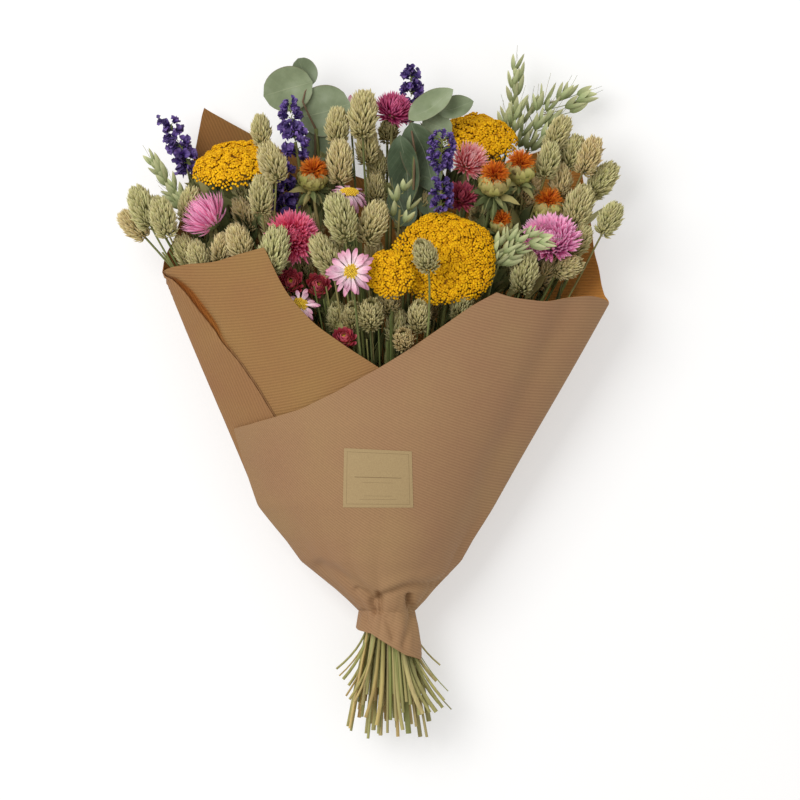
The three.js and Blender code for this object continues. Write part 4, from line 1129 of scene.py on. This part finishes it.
eucalyptusShapes = dict(
    round=blade(
        14, 11, belly=0.5, point=0.5, thick=0.02, cup=0.12, keel=-0.12, bend=0.3,
        crinkle=0.01, ripples=5,
    ),
    folded=blade(
        14, 11, belly=0.46, point=0.72, thick=0.03, cup=0.1, keel=-0.7, bend=-0.35,
        crinkle=0.014, ripples=6,
    ),
)


# The leaves of a sprig and the twig between them, round its middle as it lies
def eucalyptusSprig(sprig):
    twig = stem(eucalyptus["twigs"][sprig], eucalyptus["twigRadii"], 8, 0.03)
    parts = [(single(twig), finish["twig"])]
    for right, up, forward, heading, length, width, tiltX, tiltY, tone, shape in eucalyptus["leaves"][sprig]:
        way = np.array([np.cos(np.radians(heading)), np.sin(np.radians(heading)), 0.04])
        leaf = stamp(eucalyptusShapes[shape], (right, up, forward), way, np.array([tiltX, tiltY, 1]),
                     np.array([[width, length, width]]), tone, length % 1)
        parts.append((leaf, finish["eucalyptus"]))
    return parts


headMaker = dict(
    canary_grass=grassHead, yarrow=yarrowHead, strawflower=strawHead, paper_daisy=daisyHead,
    larkspur=larkspurHead, safflower=safflowerHead, oat=oatHead,
)
# How far a packed head's tip is from its middle, at size 1 or at any size, and the neck behind it
headReach = dict(canary_grass=19, strawflower=8.55, larkspur=27, safflower=16, oat=36)
flatReach = dict(yarrow=9.8, paper_daisy=4.75)
headDepth = dict(canary_grass=15, yarrow=10, strawflower=7, paper_daisy=4, larkspur=26, safflower=14, oat=30)
leafTip = [(-20, 19, 19), (7, 27, 13)]  # the first leaf of each packed sprig: right, up, radius


# The way from a head's middle to the vertex at its tip
def tipOf(kind, facing, size, look):
    if kind == "eucalyptus":
        right, up, _ = leafTip[look]
        return np.array([right, up, 2]) + unit([-right * 0.012, 0.15, 1]) * 1.4
    return facing * (flatReach[kind] if kind in flatReach else headReach[kind] * size)


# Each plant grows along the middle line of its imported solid, to a head where the solid's head is
print("growing the plants")
grown, cloud = [], []
for kind, rows in plants.items():
    for number, (x, y, fx, fy, fz, size, look) in enumerate(rows, 1):
        node = f"{kind}_{number:02d}"
        rng = np.random.default_rng(1000 + 37 * len(grown))  # each plant's own luck
        points, edges = nodeMesh(node)
        facing = unit([fx, fy, fz])
        tip = tipOf(kind, facing, size, look)
        near = np.hypot(*(points[:, :2] - (x, y) - tip[:2]).T) < 0.1
        middle = np.array([x, y, points[near, 2].max() - tip[2]])
        middle, facing = middle + nudge.get(node, (0, 0, 0)), unit(looksTo.get(node, facing))
        if kind == "eucalyptus":
            head = [
                (dict(part, points=part["points"] + middle), paint) for part, paint in eucalyptusSprig(look)
            ]
            neck, end = middle + np.array(eucalyptus["twigs"][look][:2])
        else:
            deep = headDepth[kind] * (1 if kind in flatReach else size)
            made = headMaker[kind](rng, size, look)
            head = placed(made, middle, facing, 0 if kind == "oat" else rng.uniform(0, 6))
            neck, end = middle - facing * deep, middle - facing * deep * 0.4
        radius = stemRadius[kind] * rng.uniform(0.9, 1.08)
        line = stemLine(points, edges, neck[1] - 3, stemRadius[kind])
        while len(line) > 3 and np.linalg.norm(line[-1] - neck) < 6:
            line = line[:-1]
        line = smoothed(np.concatenate([line, [neck, end]]))
        lower = np.linspace(1, 0.72, len(line)) * radius
        stalk = single(stem(line, lower, 8), 1.0, rng.random())
        piece(node + "_plant", tucked([(stalk, finish["stalk"]), *head]), node)
        grown.append(dict(line=line, middle=middle))
        cloud.append(points[points[:, 1] > -20])
cloud = np.concatenate(cloud)


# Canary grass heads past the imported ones: x, y, the way it faces, size and tone
moreGrass = [
    (-171, 147, -0.2, 0.9, 0.2, 0.85, 0.2), (-145, 154, 0.2, 0.9, 0.2, 0.85, 0.3),
    (-137, 112, -0.3, 0.9, 0.3, 0.8, 0.35), (-119, 118, 0.1, 0.9, 0.3, 0.75, 0.7),
    (-88, 214, -0.1, 1, 0.1, 0.75, 0.3), (-27, 217, 0, 1, 0.2, 0.9, 0.4), (-3, 202, 0, 1, 0.2, 0.9, 0.5),
    (14, 214, 0.1, 0.6, 0.8, 0.75, 0.35), (-14, 64, 0, 0.6, 0.8, 0.85, 0.35),
    (14, 77, 0, 0.7, 0.7, 0.85, 0.6), (20, 58, 0.1, 0.9, 0.3, 0.8, 0.25),
    (72, 72, 0.2, 0.7, 0.7, 0.8, 0.15), (-26, 63, -0.1, 0.8, 0.6, 0.8, 0.2),
    (157, 104, 0.7, 0.3, 0.6, 0.8, 0.5), (142, 190, 0.2, 0.95, 0.2, 0.9, 0.15),
    (162, 197, 0.3, 0.9, 0.2, 0.85, 0.25), (152, 174, 0, 1, 0.2, 0.85, 0.7),
]
mouthFill = dict(  # heads that fill the mouth of the paper, between two edges
    most=22, tries=900, corners=((-150, 40), (172, 192)), apart=17, depth=0.6, seed=5,
    low=np.array([(-150, 118), (-85, 126), (5, 42), (95, 96), (170, 100)]),
    high=np.array([(-150, 150), (-100, 172), (0, 190), (100, 190), (150, 176), (175, 150)]),
    near=40, clear=8.2, overlap=1.0, step=-2.0, lowest=25,  # how a free height is looked for
)
frontSurface = np.array([[40, 126], [75, 124], [110, 118], [150, 106], [190, 88], [230, 68], [270, 54]])


# The first height below the front surface where a head is clear of those that are there
def freeHeight(x, y, facing, size):
    fill = mouthFill
    start = keyed(frontSurface, y) * (1 - 0.4 * abs(x / 200) ** 1.5)
    near = cloud[np.hypot(cloud[:, 0] - x, cloud[:, 1] - y) < fill["near"]]
    steps = np.linspace(-0.7, 0.7, 6)[:, None] * canaryGrass["halfLength"] * size * facing
    tries = np.arange(start, fill["lowest"], fill["step"])
    room = []
    for z in tries:
        apart = np.linalg.norm(near[None] - (steps + (x, y, z))[:, None], axis=2)
        room.append(apart.min() - fill["clear"] * size)
    room = np.array(room)
    free = room > -fill["overlap"]
    return tries[free.argmax()] if free.any() else tries[room.argmax()]


rng = np.random.default_rng(mouthFill["seed"])
heads = np.array([g["middle"] for g in grown])
spots = rng.uniform(*mouthFill["corners"], (mouthFill["tries"], 2))
low, high = (keyed(mouthFill[edge], spots[:, 0]) for edge in ("low", "high"))
taken = np.concatenate([heads[:, :2], [row[:2] for row in moreGrass]])
deepGrass = []
for x, y in spots[(spots[:, 1] > low) & (spots[:, 1] < high)]:
    apart = np.hypot(*(taken - (x, y)).T)
    if len(deepGrass) < mouthFill["most"] and apart.min() > mouthFill["apart"]:
        taken = np.concatenate([taken, [(x, y)]])
        deepGrass.append((x, y, x / 300, 0.9, rng.uniform(0.2, 0.5), rng.uniform(0.75, 0.9), rng.random()))
for number, (x, y, fx, fy, fz, size, tone) in enumerate(moreGrass + deepGrass, 1):
    facing = unit([fx, fy, fz])
    deep = number > len(moreGrass)
    height = keyed(frontSurface, y) * mouthFill["depth"] if deep else freeHeight(x, y, facing, size)
    middle = np.array([x, y, height])
    axis = np.linspace(-0.8, 0.8, 9)[:, None] * canaryGrass["halfLength"] * size * facing
    cloud = np.concatenate([cloud, middle + axis])
    head = placed(grassHead(rng, size, tone), middle, facing, rng.uniform(0, 6))
    neck = middle - facing * headDepth["canary_grass"] * size
    foot = waist + [(x - waist[0]) * 0.07, 0, (height - 70) * 0.1]
    t = np.linspace(0, 1, 16)[:, None]
    bow = mix(foot, neck, t) + facing * 12 * (t ** 3 - t) * size
    line = np.concatenate([bow, [middle - facing * 6 * size]])
    stalk = single(stem(line, 1.0, 7), 0.9, rng.random())
    piece(f"canary_grass_more_{number:02d}", tucked([(stalk, finish["stalk"]), *head]))


filler = dict(  # thin stems and leaves between the plants
    cut=36, upper=70, leaves=190, radius=0.9, seed=83,
    fan=[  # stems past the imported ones: where they are cut, x, y and z, and radius
        (-28.4, -218, 46, 0.9), (-26, -224, 38, 0.6), (-23.2, -226, 50, 1.3), (-20, -240, 42, 0.8),
        (-17, -242, 55, 1.1), (-14.4, -244, 60, 0.9), (-19, -232, 34, 1.2), (56.3, -216, 27, 0.7),
        (53.2, -228, 42, 1.4), (62.2, -236, 46, 0.4), (58.4, -243, 54, 1.1), (64, -251, 40, 0.5),
        (57.4, -249, 50, 1.3), (52.2, -252, 58, 1.7), (47.2, -252, 62, 1.2), (42, -253, 66, 1.8),
        (54.4, -246, 36, 1.2), (26, -266, 64, 1.5), (4, -262, 66, 1.6), (-5, -256, 64, 1.4),
    ],
    sprays=[  # tufts of leaves deep in the mouth: x, y, z, and the way they lean
        (-125, 160, 58, -0.45, 0.85, 0.2), (-108, 150, 62, -0.35, 0.9, 0.3), (-95, 158, 58, -0.2, 0.95, 0.2),
        (-112, 172, 52, -0.3, 0.9, 0.2), (-100, 138, 66, -0.4, 0.8, 0.4), (-118, 140, 60, -0.5, 0.8, 0.3),
        (-140, 165, 50, -0.5, 0.8, 0.2), (100, 150, 60, 0, 0.95, 0.3), (120, 150, 56, 0.1, 0.9, 0.3),
        (136, 135, 58, 0.3, 0.9, 0.3), (95, 130, 70, 0.1, 0.9, 0.4), (112, 112, 78, 0.4, 0.8, 0.4),
        (126, 98, 78, 0.5, 0.8, 0.4), (100, 96, 82, 0.3, 0.8, 0.5), (142, 100, 66, 0.4, 0.8, 0.3),
        (20, 170, 58, 0, 0.95, 0.3), (-30, 180, 50, 0, 0.95, 0.2), (-45, 150, 62, 0, 0.9, 0.3),
        (30, 140, 66, 0.1, 0.9, 0.4), (-62, 108, 78, -0.1, 0.9, 0.4), (50, 140, 66, 0.1, 0.9, 0.4),
        (-20, 118, 74, 0, 0.9, 0.4), (0, 46, 88, 0, 0.8, 0.6), (22, 40, 92, 0.1, 0.8, 0.6),
        (-8, 62, 86, -0.1, 0.8, 0.6), (84, 84, 84, 0.3, 0.8, 0.5), (-35, 70, 86, -0.2, 0.8, 0.5),
        (62, 172, 54, 0.1, 0.95, 0.2), (84, 172, 56, 0.1, 0.95, 0.2), (98, 192, 50, 0.1, 0.95, 0.2),
        (52, 196, 50, 0, 0.95, 0.2), (-128, 118, 62, -0.3, 0.9, 0.3), (-132, 130, 58, -0.3, 0.9, 0.3),
    ],
    sprayLeaves=11,
)


# A stem's luck by where it is cut: straw coloured to the left, greener to the right
def cutLuck(luck, x):
    return mix(luck * 0.5, 0.55 + luck * 0.38, smooth((32 - x) / 24))


# The nearest few points of a set to each of them
def neighbours(points, count):
    apart = np.linalg.norm(points[:, None] - points[None], axis=2) + np.eye(len(points)) * 1e3
    return apart.argsort(axis=1)[:, :count]


# A stem that runs midway between two neighbours, from one level up to another
def between(a, b, low, high, share):
    top = min(high, a["line"][-3, 1], b["line"][-3, 1])
    levels = np.linspace(low, top, 26)
    lines = [np.stack([keyed(g["line"][:, [1, k]], levels) for k in range(3)], -1) for g in (a, b)]
    return mix(*lines, share)


rng = np.random.default_rng(filler["seed"])
atTie = np.array([[keyed(g["line"][:, [1, k]], cone["tieY"]) for k in (0, 2)] for g in grown])
near = neighbours(atTie, 3)
parts = []
for k in range(filler["cut"]):
    one = k * 2 % len(grown)
    a, b = grown[one], grown[near[one, k % 3]]
    low = max(a["line"][0, 1], b["line"][0, 1]) + rng.uniform(0, 14)
    line = between(a, b, low, -60, rng.uniform(0.35, 0.65))
    cutStem = stem(line, filler["radius"] * rng.uniform(0.7, 1.7), 7)
    parts.append((single(cutStem, rng.uniform(0.8, 1), cutLuck(rng.random(), line[0, 0])), finish["stalk"]))
for x, y, z, radius in filler["fan"]:  # fanned out from the waist, ever more to the side
    t = np.linspace(0, 1, 14)[:, None]
    foot = waist + [(x - waist[0]) / 76 * 20, 0, (z - 48) * 0.6]
    line = mix(foot, np.array([x, y, z]), t)
    line[:, 0] = mix(foot[0], x, t[:, 0] ** 2.6) + 0.7 * np.sin(t[:, 0] * 7 + y)
    cutStem = stem(line[::-1], radius, 7)
    parts.append((single(cutStem, rng.uniform(0.75, 1), cutLuck(rng.random(), x)), finish["stalk"]))
near = neighbours(heads, 4)
for k in range(filler["upper"]):
    one = k % len(grown)
    a, b = grown[one], grown[near[one, rng.integers(4)]]
    line = between(a, b, -120, rng.uniform(60, 190), rng.uniform(0.3, 0.7))
    upperStem = stem(line, filler["radius"] * rng.uniform(0.6, 1.0), 6)
    parts.append((single(upperStem, 0.9, rng.random()), finish["stalk"]))

# Narrow leaves on the upper stems and in the sprays, kept where they stay inside the paper
narrowLeaf = blade(
    8, 5, belly=0.4, point=0.8, thick=0.06, cup=0.3, keel=-0.2, bend=0.7, crinkle=0.02,
)
base, along, long = [], [], []
for _ in range(filler["leaves"]):
    line = grown[rng.integers(len(grown))]["line"]
    spot = rng.uniform(0.62, 0.95) * (len(line) - 1)
    i = int(spot)
    base.append(mix(line[i], line[i + 1], spot - i))
    rise = unit(line[i + 1] - line[i])
    side = unit(np.cross(rise, rng.normal(0, 1, 3)))
    along.append(unit(rise + side * rng.uniform(0.15, 0.7)))
    long.append(rng.uniform(18, 42))
for x, y, z, fx, fy, fz in filler["sprays"]:
    for _ in range(filler["sprayLeaves"]):
        way = unit(unit([fx, fy, fz]) + rng.normal(0, 0.24, 3))
        long.append(rng.uniform(26, 44))
        along.append(way)
        base.append(np.array([x, y, z]) + rng.normal(0, 4, 3) - way * 16)
base, along, long = (np.array(v) for v in (base, along, long))
face = rng.normal(0, 1, (len(base), 3))
face = unit(face - along * (face * along).sum(-1, keepdims=True))
curl = 0.92 * along + 0.34 * face  # where the tip of a leaf bent by 0.7 ends
tips = base + curl * long[:, None]
kept = insidePaper(base, 4) & insidePaper(tips, 4) & (tips[:, 2] < 0.78 * keyed(frontSurface, tips[:, 1]))
slim = long * rng.uniform(0.07, 0.12, len(long))
size = np.stack([slim, long, long], -1)
leaves = stamp(narrowLeaf, base[kept], along[kept], face[kept], size[kept], 0.5, rng.random(kept.sum()))
parts.append((leaves, finish["leaf"]))
piece("thin_stems_and_leaves", tucked(parts))
print("plants grown")


tie = dict(radius=18.6, strand=1.0, strands=6, spread=1.15, seed=3)  # raffia wound round the stems
raffia = ramped("raffia", [
    (0.0, (176, 146, 92)), (0.5, (206, 180, 126)), (1.0, (184, 154, 100)),
], roughness=0.75, scale=500)
rng = np.random.default_rng(tie["seed"])
turn = np.linspace(0, 2 * np.pi, 73)[:-1]
parts = []
for k in range(tie["strands"]):
    across = (k - (tie["strands"] - 1) / 2) * tie["spread"]
    r = tie["radius"] + rng.uniform(-0.3, 0.3) + 0.25 * np.sin(3 * turn + k)
    y = cone["tieY"] + across + 0.8 * np.sin(turn + k * 1.7)
    ring = np.stack([waist[0] + r * np.cos(turn), y, waist[2] + r * np.sin(turn)], -1)
    parts.append((single(loop(ring, tie["strand"] * rng.uniform(0.75, 1.0)), 0.5, rng.random()), raffia))
piece("raffia_tie", parts, "stem_tie")
print("tie made")


# An edge's height against the wrap angle, rounded except at its corners
def softEdge(table):
    wraps = np.arange(table[0, 0], table[-1, 0] + 0.1, 0.5)
    heights = keyed(table, wraps)
    held = np.isin(wraps, kraft["corners"])
    for _ in range(30):
        soft = heights.copy()
        soft[1:-1] = (heights[:-2] + 2 * heights[1:-1] + heights[2:]) / 4
        heights = np.where(held, heights, soft)
    return np.stack([wraps, heights], -1)


# The pleat in rows at shares v of the way up from the tie: the wrap angles of its columns, and how far
# they stand off the sheet. Its profile is laid out in millimetres along each row, from the crease
def pleat(v, upper):
    k, tieY = kraft, cone["tieY"]
    x, y = k["crease"].T
    creaseWrap = np.degrees(np.arccos(np.clip(reachOf(x, y, cone["lapGap"]), -1, 1)))
    creaseAt = ((y - tieY) / (keyed(upper, creaseWrap) - tieY)) ** (1 / k["rowPower"])
    crease = np.interp(v, creaseAt[::-1], creaseWrap[::-1])
    level = mix(tieY, keyed(upper, crease), v ** k["rowPower"])
    run = np.concatenate([[0], np.cumsum(np.linalg.norm(np.diff(k["fold"], axis=0), axis=1))])
    along = np.linspace(0, run[-1], k["foldColumns"])
    across, off = (np.interp(along, run, k["fold"][:, c]) for c in (0, 1))
    flat = np.linspace(across[0], across[-1], len(across))
    across = mix(flat, across, smooth((v - k["foldFrom"]) / k["foldFade"])) * mix(k["foldNarrow"], 1, v)
    angles = np.arange(94.0, 260.0)
    strides = np.linalg.norm(np.diff(conePoint(angles, level), axis=1), axis=2)
    arcs = np.cumsum(np.concatenate([0 * v, strides], axis=1), axis=1)
    folded = np.array([
        np.interp(np.interp(at, angles, arc) + shift, arc, angles)
        for at, arc, shift in zip(crease[:, 0], arcs, across)
    ])
    return folded, off * smooth(keyed(k["open"], v))


# Rows from the lower edge up to the tie and on to the upper edge; columns round the flap, through
# the pleat, and round the side panel and the front to the outer edge
def wrapperGrid():
    k, tieY = kraft, cone["tieY"]
    upper, lower = softEdge(cone["upperEdge"]), softEdge(cone["lowerEdge"])
    v = np.concatenate([np.zeros(k["tailRows"]), np.linspace(0, 1, k["bodyRows"])])[:, None]
    tail = np.concatenate([np.linspace(0, 1, k["tailRows"] + 1)[:-1], np.ones(k["bodyRows"])])[:, None]
    folded, off = pleat(v, upper)
    first, last = folded[:, :1], folded[:, -1:]
    flap = mix(upper[0, 0], first, np.linspace(0, 1, k["flapColumns"] + 1)[:-1])
    stops = np.array([180.0, *k["corners"][2:], upper[-1, 0]])  # columns stand at the corners
    place = np.round((stops - stops[0]) / (stops[-1] - stops[0]) * k["panelColumns"]).astype(int)
    steps = np.interp(np.arange(1, k["panelColumns"] + 1), place, stops) + 0 * last
    early = np.arange(1, place[1] + 1) / place[1]
    panel = np.concatenate([mix(last, stops[1], early), steps[:, place[1]:]], axis=1)
    wrap = np.concatenate([flap, folded, panel], axis=1)
    lift = np.zeros_like(wrap)
    lift[:, k["flapColumns"]:k["flapColumns"] + k["foldColumns"]] = off
    high = v ** k["rowPower"]
    y = np.where(v > 0, mix(tieY, keyed(upper, wrap), high), mix(keyed(lower, wrap), tieY, tail))
    wrap = wrap + k["tuck"] * (1 - high) * smooth((wrap - k["tuckFrom"]) / (upper[-1, 0] - k["tuckFrom"]))
    point = conePoint(wrap, y)
    sideways = np.abs(np.cos(np.radians(wrap))) ** k["bulgePower"]
    bulge = k["sideBulge"] * sideways * smooth((y - tieY) / k["bulgeRise"])
    point = point + offCone(wrap, y) * (relief(wrap, point) + lift + bulge)[..., None]
    point[..., 2] = np.maximum(point[..., 2], k["thickness"])  # the back rests on the floor
    away, square = offCone(wrap, y), gridNormal(point)
    square = square * np.sign((square * away).sum())
    # The last is how far each point sits down in the pleat: the mask of the painted orange glow of bounced
    # light there
    return wrap, point, np.where(lift[..., None] == 0, away, square), smooth((-lift - 1.2) / 2.6)


# Where a point lies between the right and the left edge, by the arc of the front or back it is on
def spanned(wrap, y):
    turn = np.arange(0.0, 181.0, 3)
    isBack = np.sin(np.radians(wrap)) < 0
    from360 = 180 - np.abs(np.abs(wrap - 360) - 180)
    shares = []
    for way in (1, -1):
        arc = np.cumsum(np.linalg.norm(np.diff(conePoint(360 + way * turn, 0), axis=0), axis=1))
        shares.append(np.interp(from360, turn, np.concatenate([[0], arc / arc[-1]])))
    share = np.where(isBack, shares[1], shares[0])
    return mix(keyed(cone["levels"], y, 2), keyed(cone["levels"], y, 1), share)


ribs = dict(  # of the paper; angles in radians
    spacing=2.3, turnRate=0.0042, levelAt=143, steepest=1.1, alongEdge=1.19, flapBow=0.00145, flapMiddle=-130,
    frontFrom=270, pastCrease=12,
)


# The ribs are where this is a whole number of spacings: nearly level on the left flap, in a line with
# the left edge on the side panel, and elsewhere level at the right and steeper to the left, at
# turnRate * (levelAt - span) radians. With it comes 0 on the flap and 1 past the crease
def ribCoordinate(wrap, point):
    r, x, y = ribs, point[..., 0], point[..., 1]
    span = spanned(wrap, y)
    steep = np.clip(r["turnRate"] * (r["levelAt"] - span), 0, r["steepest"])
    beyond = np.maximum(0, r["levelAt"] - r["steepest"] / r["turnRate"] - span) * np.tan(r["steepest"])
    front = y + np.log(np.cos(steep)) / r["turnRate"] - beyond
    flap = y - r["flapBow"] * (x - r["flapMiddle"]) ** 2
    side = span * np.sin(r["alongEdge"]) + y * np.cos(r["alongEdge"])
    isFlap = np.arange(point.shape[1]) < kraft["flapColumns"] + r["pastCrease"]
    panel = np.where(wrap < r["frontFrom"], side, front)
    return np.where(isFlap, flap, panel), np.where(isFlap, 0.0, 1.0) + 0 * x


# Ribbed brown paper: the ribs are a sine of their coordinate, with painted shade in the hollows
def kraftFinish():
    f = Finish("kraft_paper", 0.72, 0.3)
    rib, turns, panel = f.grain()
    # 1 on the inner skin; up to 0.9 down in the pleat on the outer skin, where the inner ramp's orange is
    # painted as a glow of bounced light
    innerSkinAndPleatGlow = f.luck()
    fibre, cloud = f.noise(900, 4.0, (1, 0.3, 1)), f.noise(16, 3.0)
    wave = (rib * (2 * np.pi / ribs["spacing"])).sine() * 0.5 + 0.5
    side = ((0.64 - turns) * 7).kept()  # warmer on the side panel
    # painted shade over the left of the front, towards the sheet's outer edge
    low = ((turns - 1.28) * 5).kept()  # darker towards the outer edge
    front = f.blend(low, (160, 124, 89), (151, 116, 82))
    outer = f.blend(panel, (149, 111, 66), f.blend(side, front, (146, 106, 67)))
    # The inner skin has painted light round the cone: an orange glow at the pleat, painted shade deep in the
    # back corner, and painted light towards the right
    inner = f.ramp(turns, [
        (0.5, (166, 98, 36)), (0.56, (150, 104, 56)), (0.66, (142, 100, 54)), (0.8, (213, 149, 71)),
    ])
    body = f.blend(innerSkinAndPleatGlow, outer, inner)
    # painted shade: darker in each rib's hollow, where the bump sinks
    body = f.blend(wave ** 1.5 * 0.36, body, (196, 186, 176), "MULTIPLY")
    body = f.varied(body, cloud, 0.14, 0.03)
    body = f.varied(body, fibre, 0.22, 0.0)
    return f.paint(body, 0.66 + fibre * 0.2, f.bump(wave + fibre * 0.35, -0.16))


# The kraft paper wrapper: one sheet wound once and a fifth round
wrap, middle, normal, pleatGlow = wrapperGrid()
rib, panel = ribCoordinate(wrap, middle)
paper = single(sheet(middle, normal, kraft["thickness"], np.stack([rib, wrap / 360], -1)))
paper["tone"] = np.tile(panel.ravel(), 2)
# Down in the pleat the outer skin takes the inner colours too: a painted orange glow
paper["luck"] = np.concatenate([pleatGlow.ravel() * 0.9, np.ones(pleatGlow.size)])  # 1 is the inner skin
piece("wound_kraft_sheet", [(paper, kraftFinish())], "kraft_wrapper")

# The sheet laid flat: its longest row, and the mean of its columns
rowRun = np.linalg.norm(np.diff(middle, axis=1), axis=2).sum(1)
columnRun = np.linalg.norm(np.diff(middle, axis=0), axis=2).sum(0)
print(f"wrapper made; flat, {rowRun.max():.0f} mm round its upper edge and {columnRun.mean():.0f} mm deep")


sticker = dict(  # on the front flap; corners from the lower left, round
    corners=np.array([[-22, -86.6], [33.6, -86.8], [32.4, -42], [-21, -39.6]]),
    thickness=0.14, off=0.42, columns=56, rows=48,
    rules=[  # plain lines across it: height, half width and reach, in shares of its size
        (0.52, 0.007, 0.34), (0.43, 0.0035, 0.22), (0.2, 0.0035, 0.2), (0.14, 0.0035, 0.27),
    ],
)


# Pale brown paper, with a thin border and the plain lines
def stickerFinish():
    f = Finish("sticker_paper", 0.5, 0.35)
    u, v, _ = f.grain()
    speck = f.noise(1100, 3.0)

    def line(value, centre, half):  # 1 on a line, with soft edges
        return ((half - abs(value - centre)) * 400).kept()

    sides = line(abs(u - 0.5), 0.452, 0.0035) * (abs(v - 0.5) < 0.4455)
    ends = line(abs(v - 0.5), 0.442, 0.0042) * (abs(u - 0.5) < 0.4555)
    ink = sides + ends
    for height, half, reach in sticker["rules"]:
        ink = ink + line(v, height, half) * (abs(u - 0.5) < reach)
    body = f.varied(f.ramp(speck, [(0.3, (160, 136, 96)), (0.7, (168, 144, 103))]), speck, 0.1, 0.01)
    body = f.blend(ink.kept() * 0.75, body, (104, 82, 48))
    return f.paint(body, 0.45 + speck * 0.15, f.bump(speck, 0.05))


# A grid between the four corners, laid on the front of the paper
def stickerShape():
    u, v = np.meshgrid(np.linspace(0, 1, sticker["columns"]), np.linspace(0, 1, sticker["rows"]))
    a, b, c, d = sticker["corners"][:, None, None]
    x, y = np.moveaxis(mix(mix(a, b, u[..., None]), mix(d, c, u[..., None]), v[..., None]), -1, 0)
    wrap = 360 + np.degrees(np.arccos(reachOf(x, y)))
    face = conePoint(wrap, y)
    face = face - gridNormal(face) * (relief(wrap, face) + sticker["off"])[..., None]
    return sheet(face, gridNormal(face), sticker["thickness"], np.stack([u, v], -1))


piece("paper_sticker", [(single(stickerShape()), stickerFinish())], "sticker")
print("sticker made")


studio = dict(  # the floor, light and camera: places in metres, the lens in millimetres
    floor=12.0, floorColour=(200, 200, 200), floorGlow=0.42, worldStrength=0.66, lightPower=40, lightSize=1.5,
    lightPlace=(-1.2, 0.7, 2.2), lens=225, cameraPlace=(0.0232, -0.0016, 4.07),
)


def aim(thing, place, target):  # sets a light down and turns it to look at a point
    way = Vector(target) - Vector(place)
    thing.location, thing.rotation_euler = place, way.to_track_quat("-Z", "Y").to_euler()
    bpy.context.scene.collection.objects.link(thing)


half = studio["floor"] / 2
floorMesh = bpy.data.meshes.new("floor")
corners = [(-half, -half, 0), (half, -half, 0), (half, half, 0), (-half, half, 0)]
floorMesh.from_pydata(corners, [], [(0, 1, 2, 3)])
floorFinish = Finish("floor", 0.9, 0.1, Emission_Strength=studio["floorGlow"])
floorMesh.materials.append(floorFinish.paint(linear(studio["floorColour"])))
floor = bpy.data.objects.new("floor", floorMesh)
bpy.context.scene.collection.objects.link(floor)

world = bpy.data.worlds.new("studio")
world.use_nodes = True
world.node_tree.nodes["Background"].inputs["Color"].default_value = linear((255, 253, 250))
world.node_tree.nodes["Background"].inputs["Strength"].default_value = studio["worldStrength"]
bpy.context.scene.world = world

softBox = bpy.data.lights.new("soft_box", "AREA")
softBox.energy, softBox.size = studio["lightPower"], studio["lightSize"]
aim(bpy.data.objects.new("soft_box", softBox), studio["lightPlace"], (0, 0, 0.08))

lens = bpy.data.cameras.new("camera")
lens.lens, lens.sensor_width = studio["lens"], 36
camera = bpy.data.objects.new("camera", lens)
camera.location = studio["cameraPlace"]  # unturned, a camera looks straight down with +Y up
bpy.context.scene.collection.objects.link(camera)
bpy.context.scene.camera = camera
bpy.context.scene.view_settings.view_transform = "Standard"
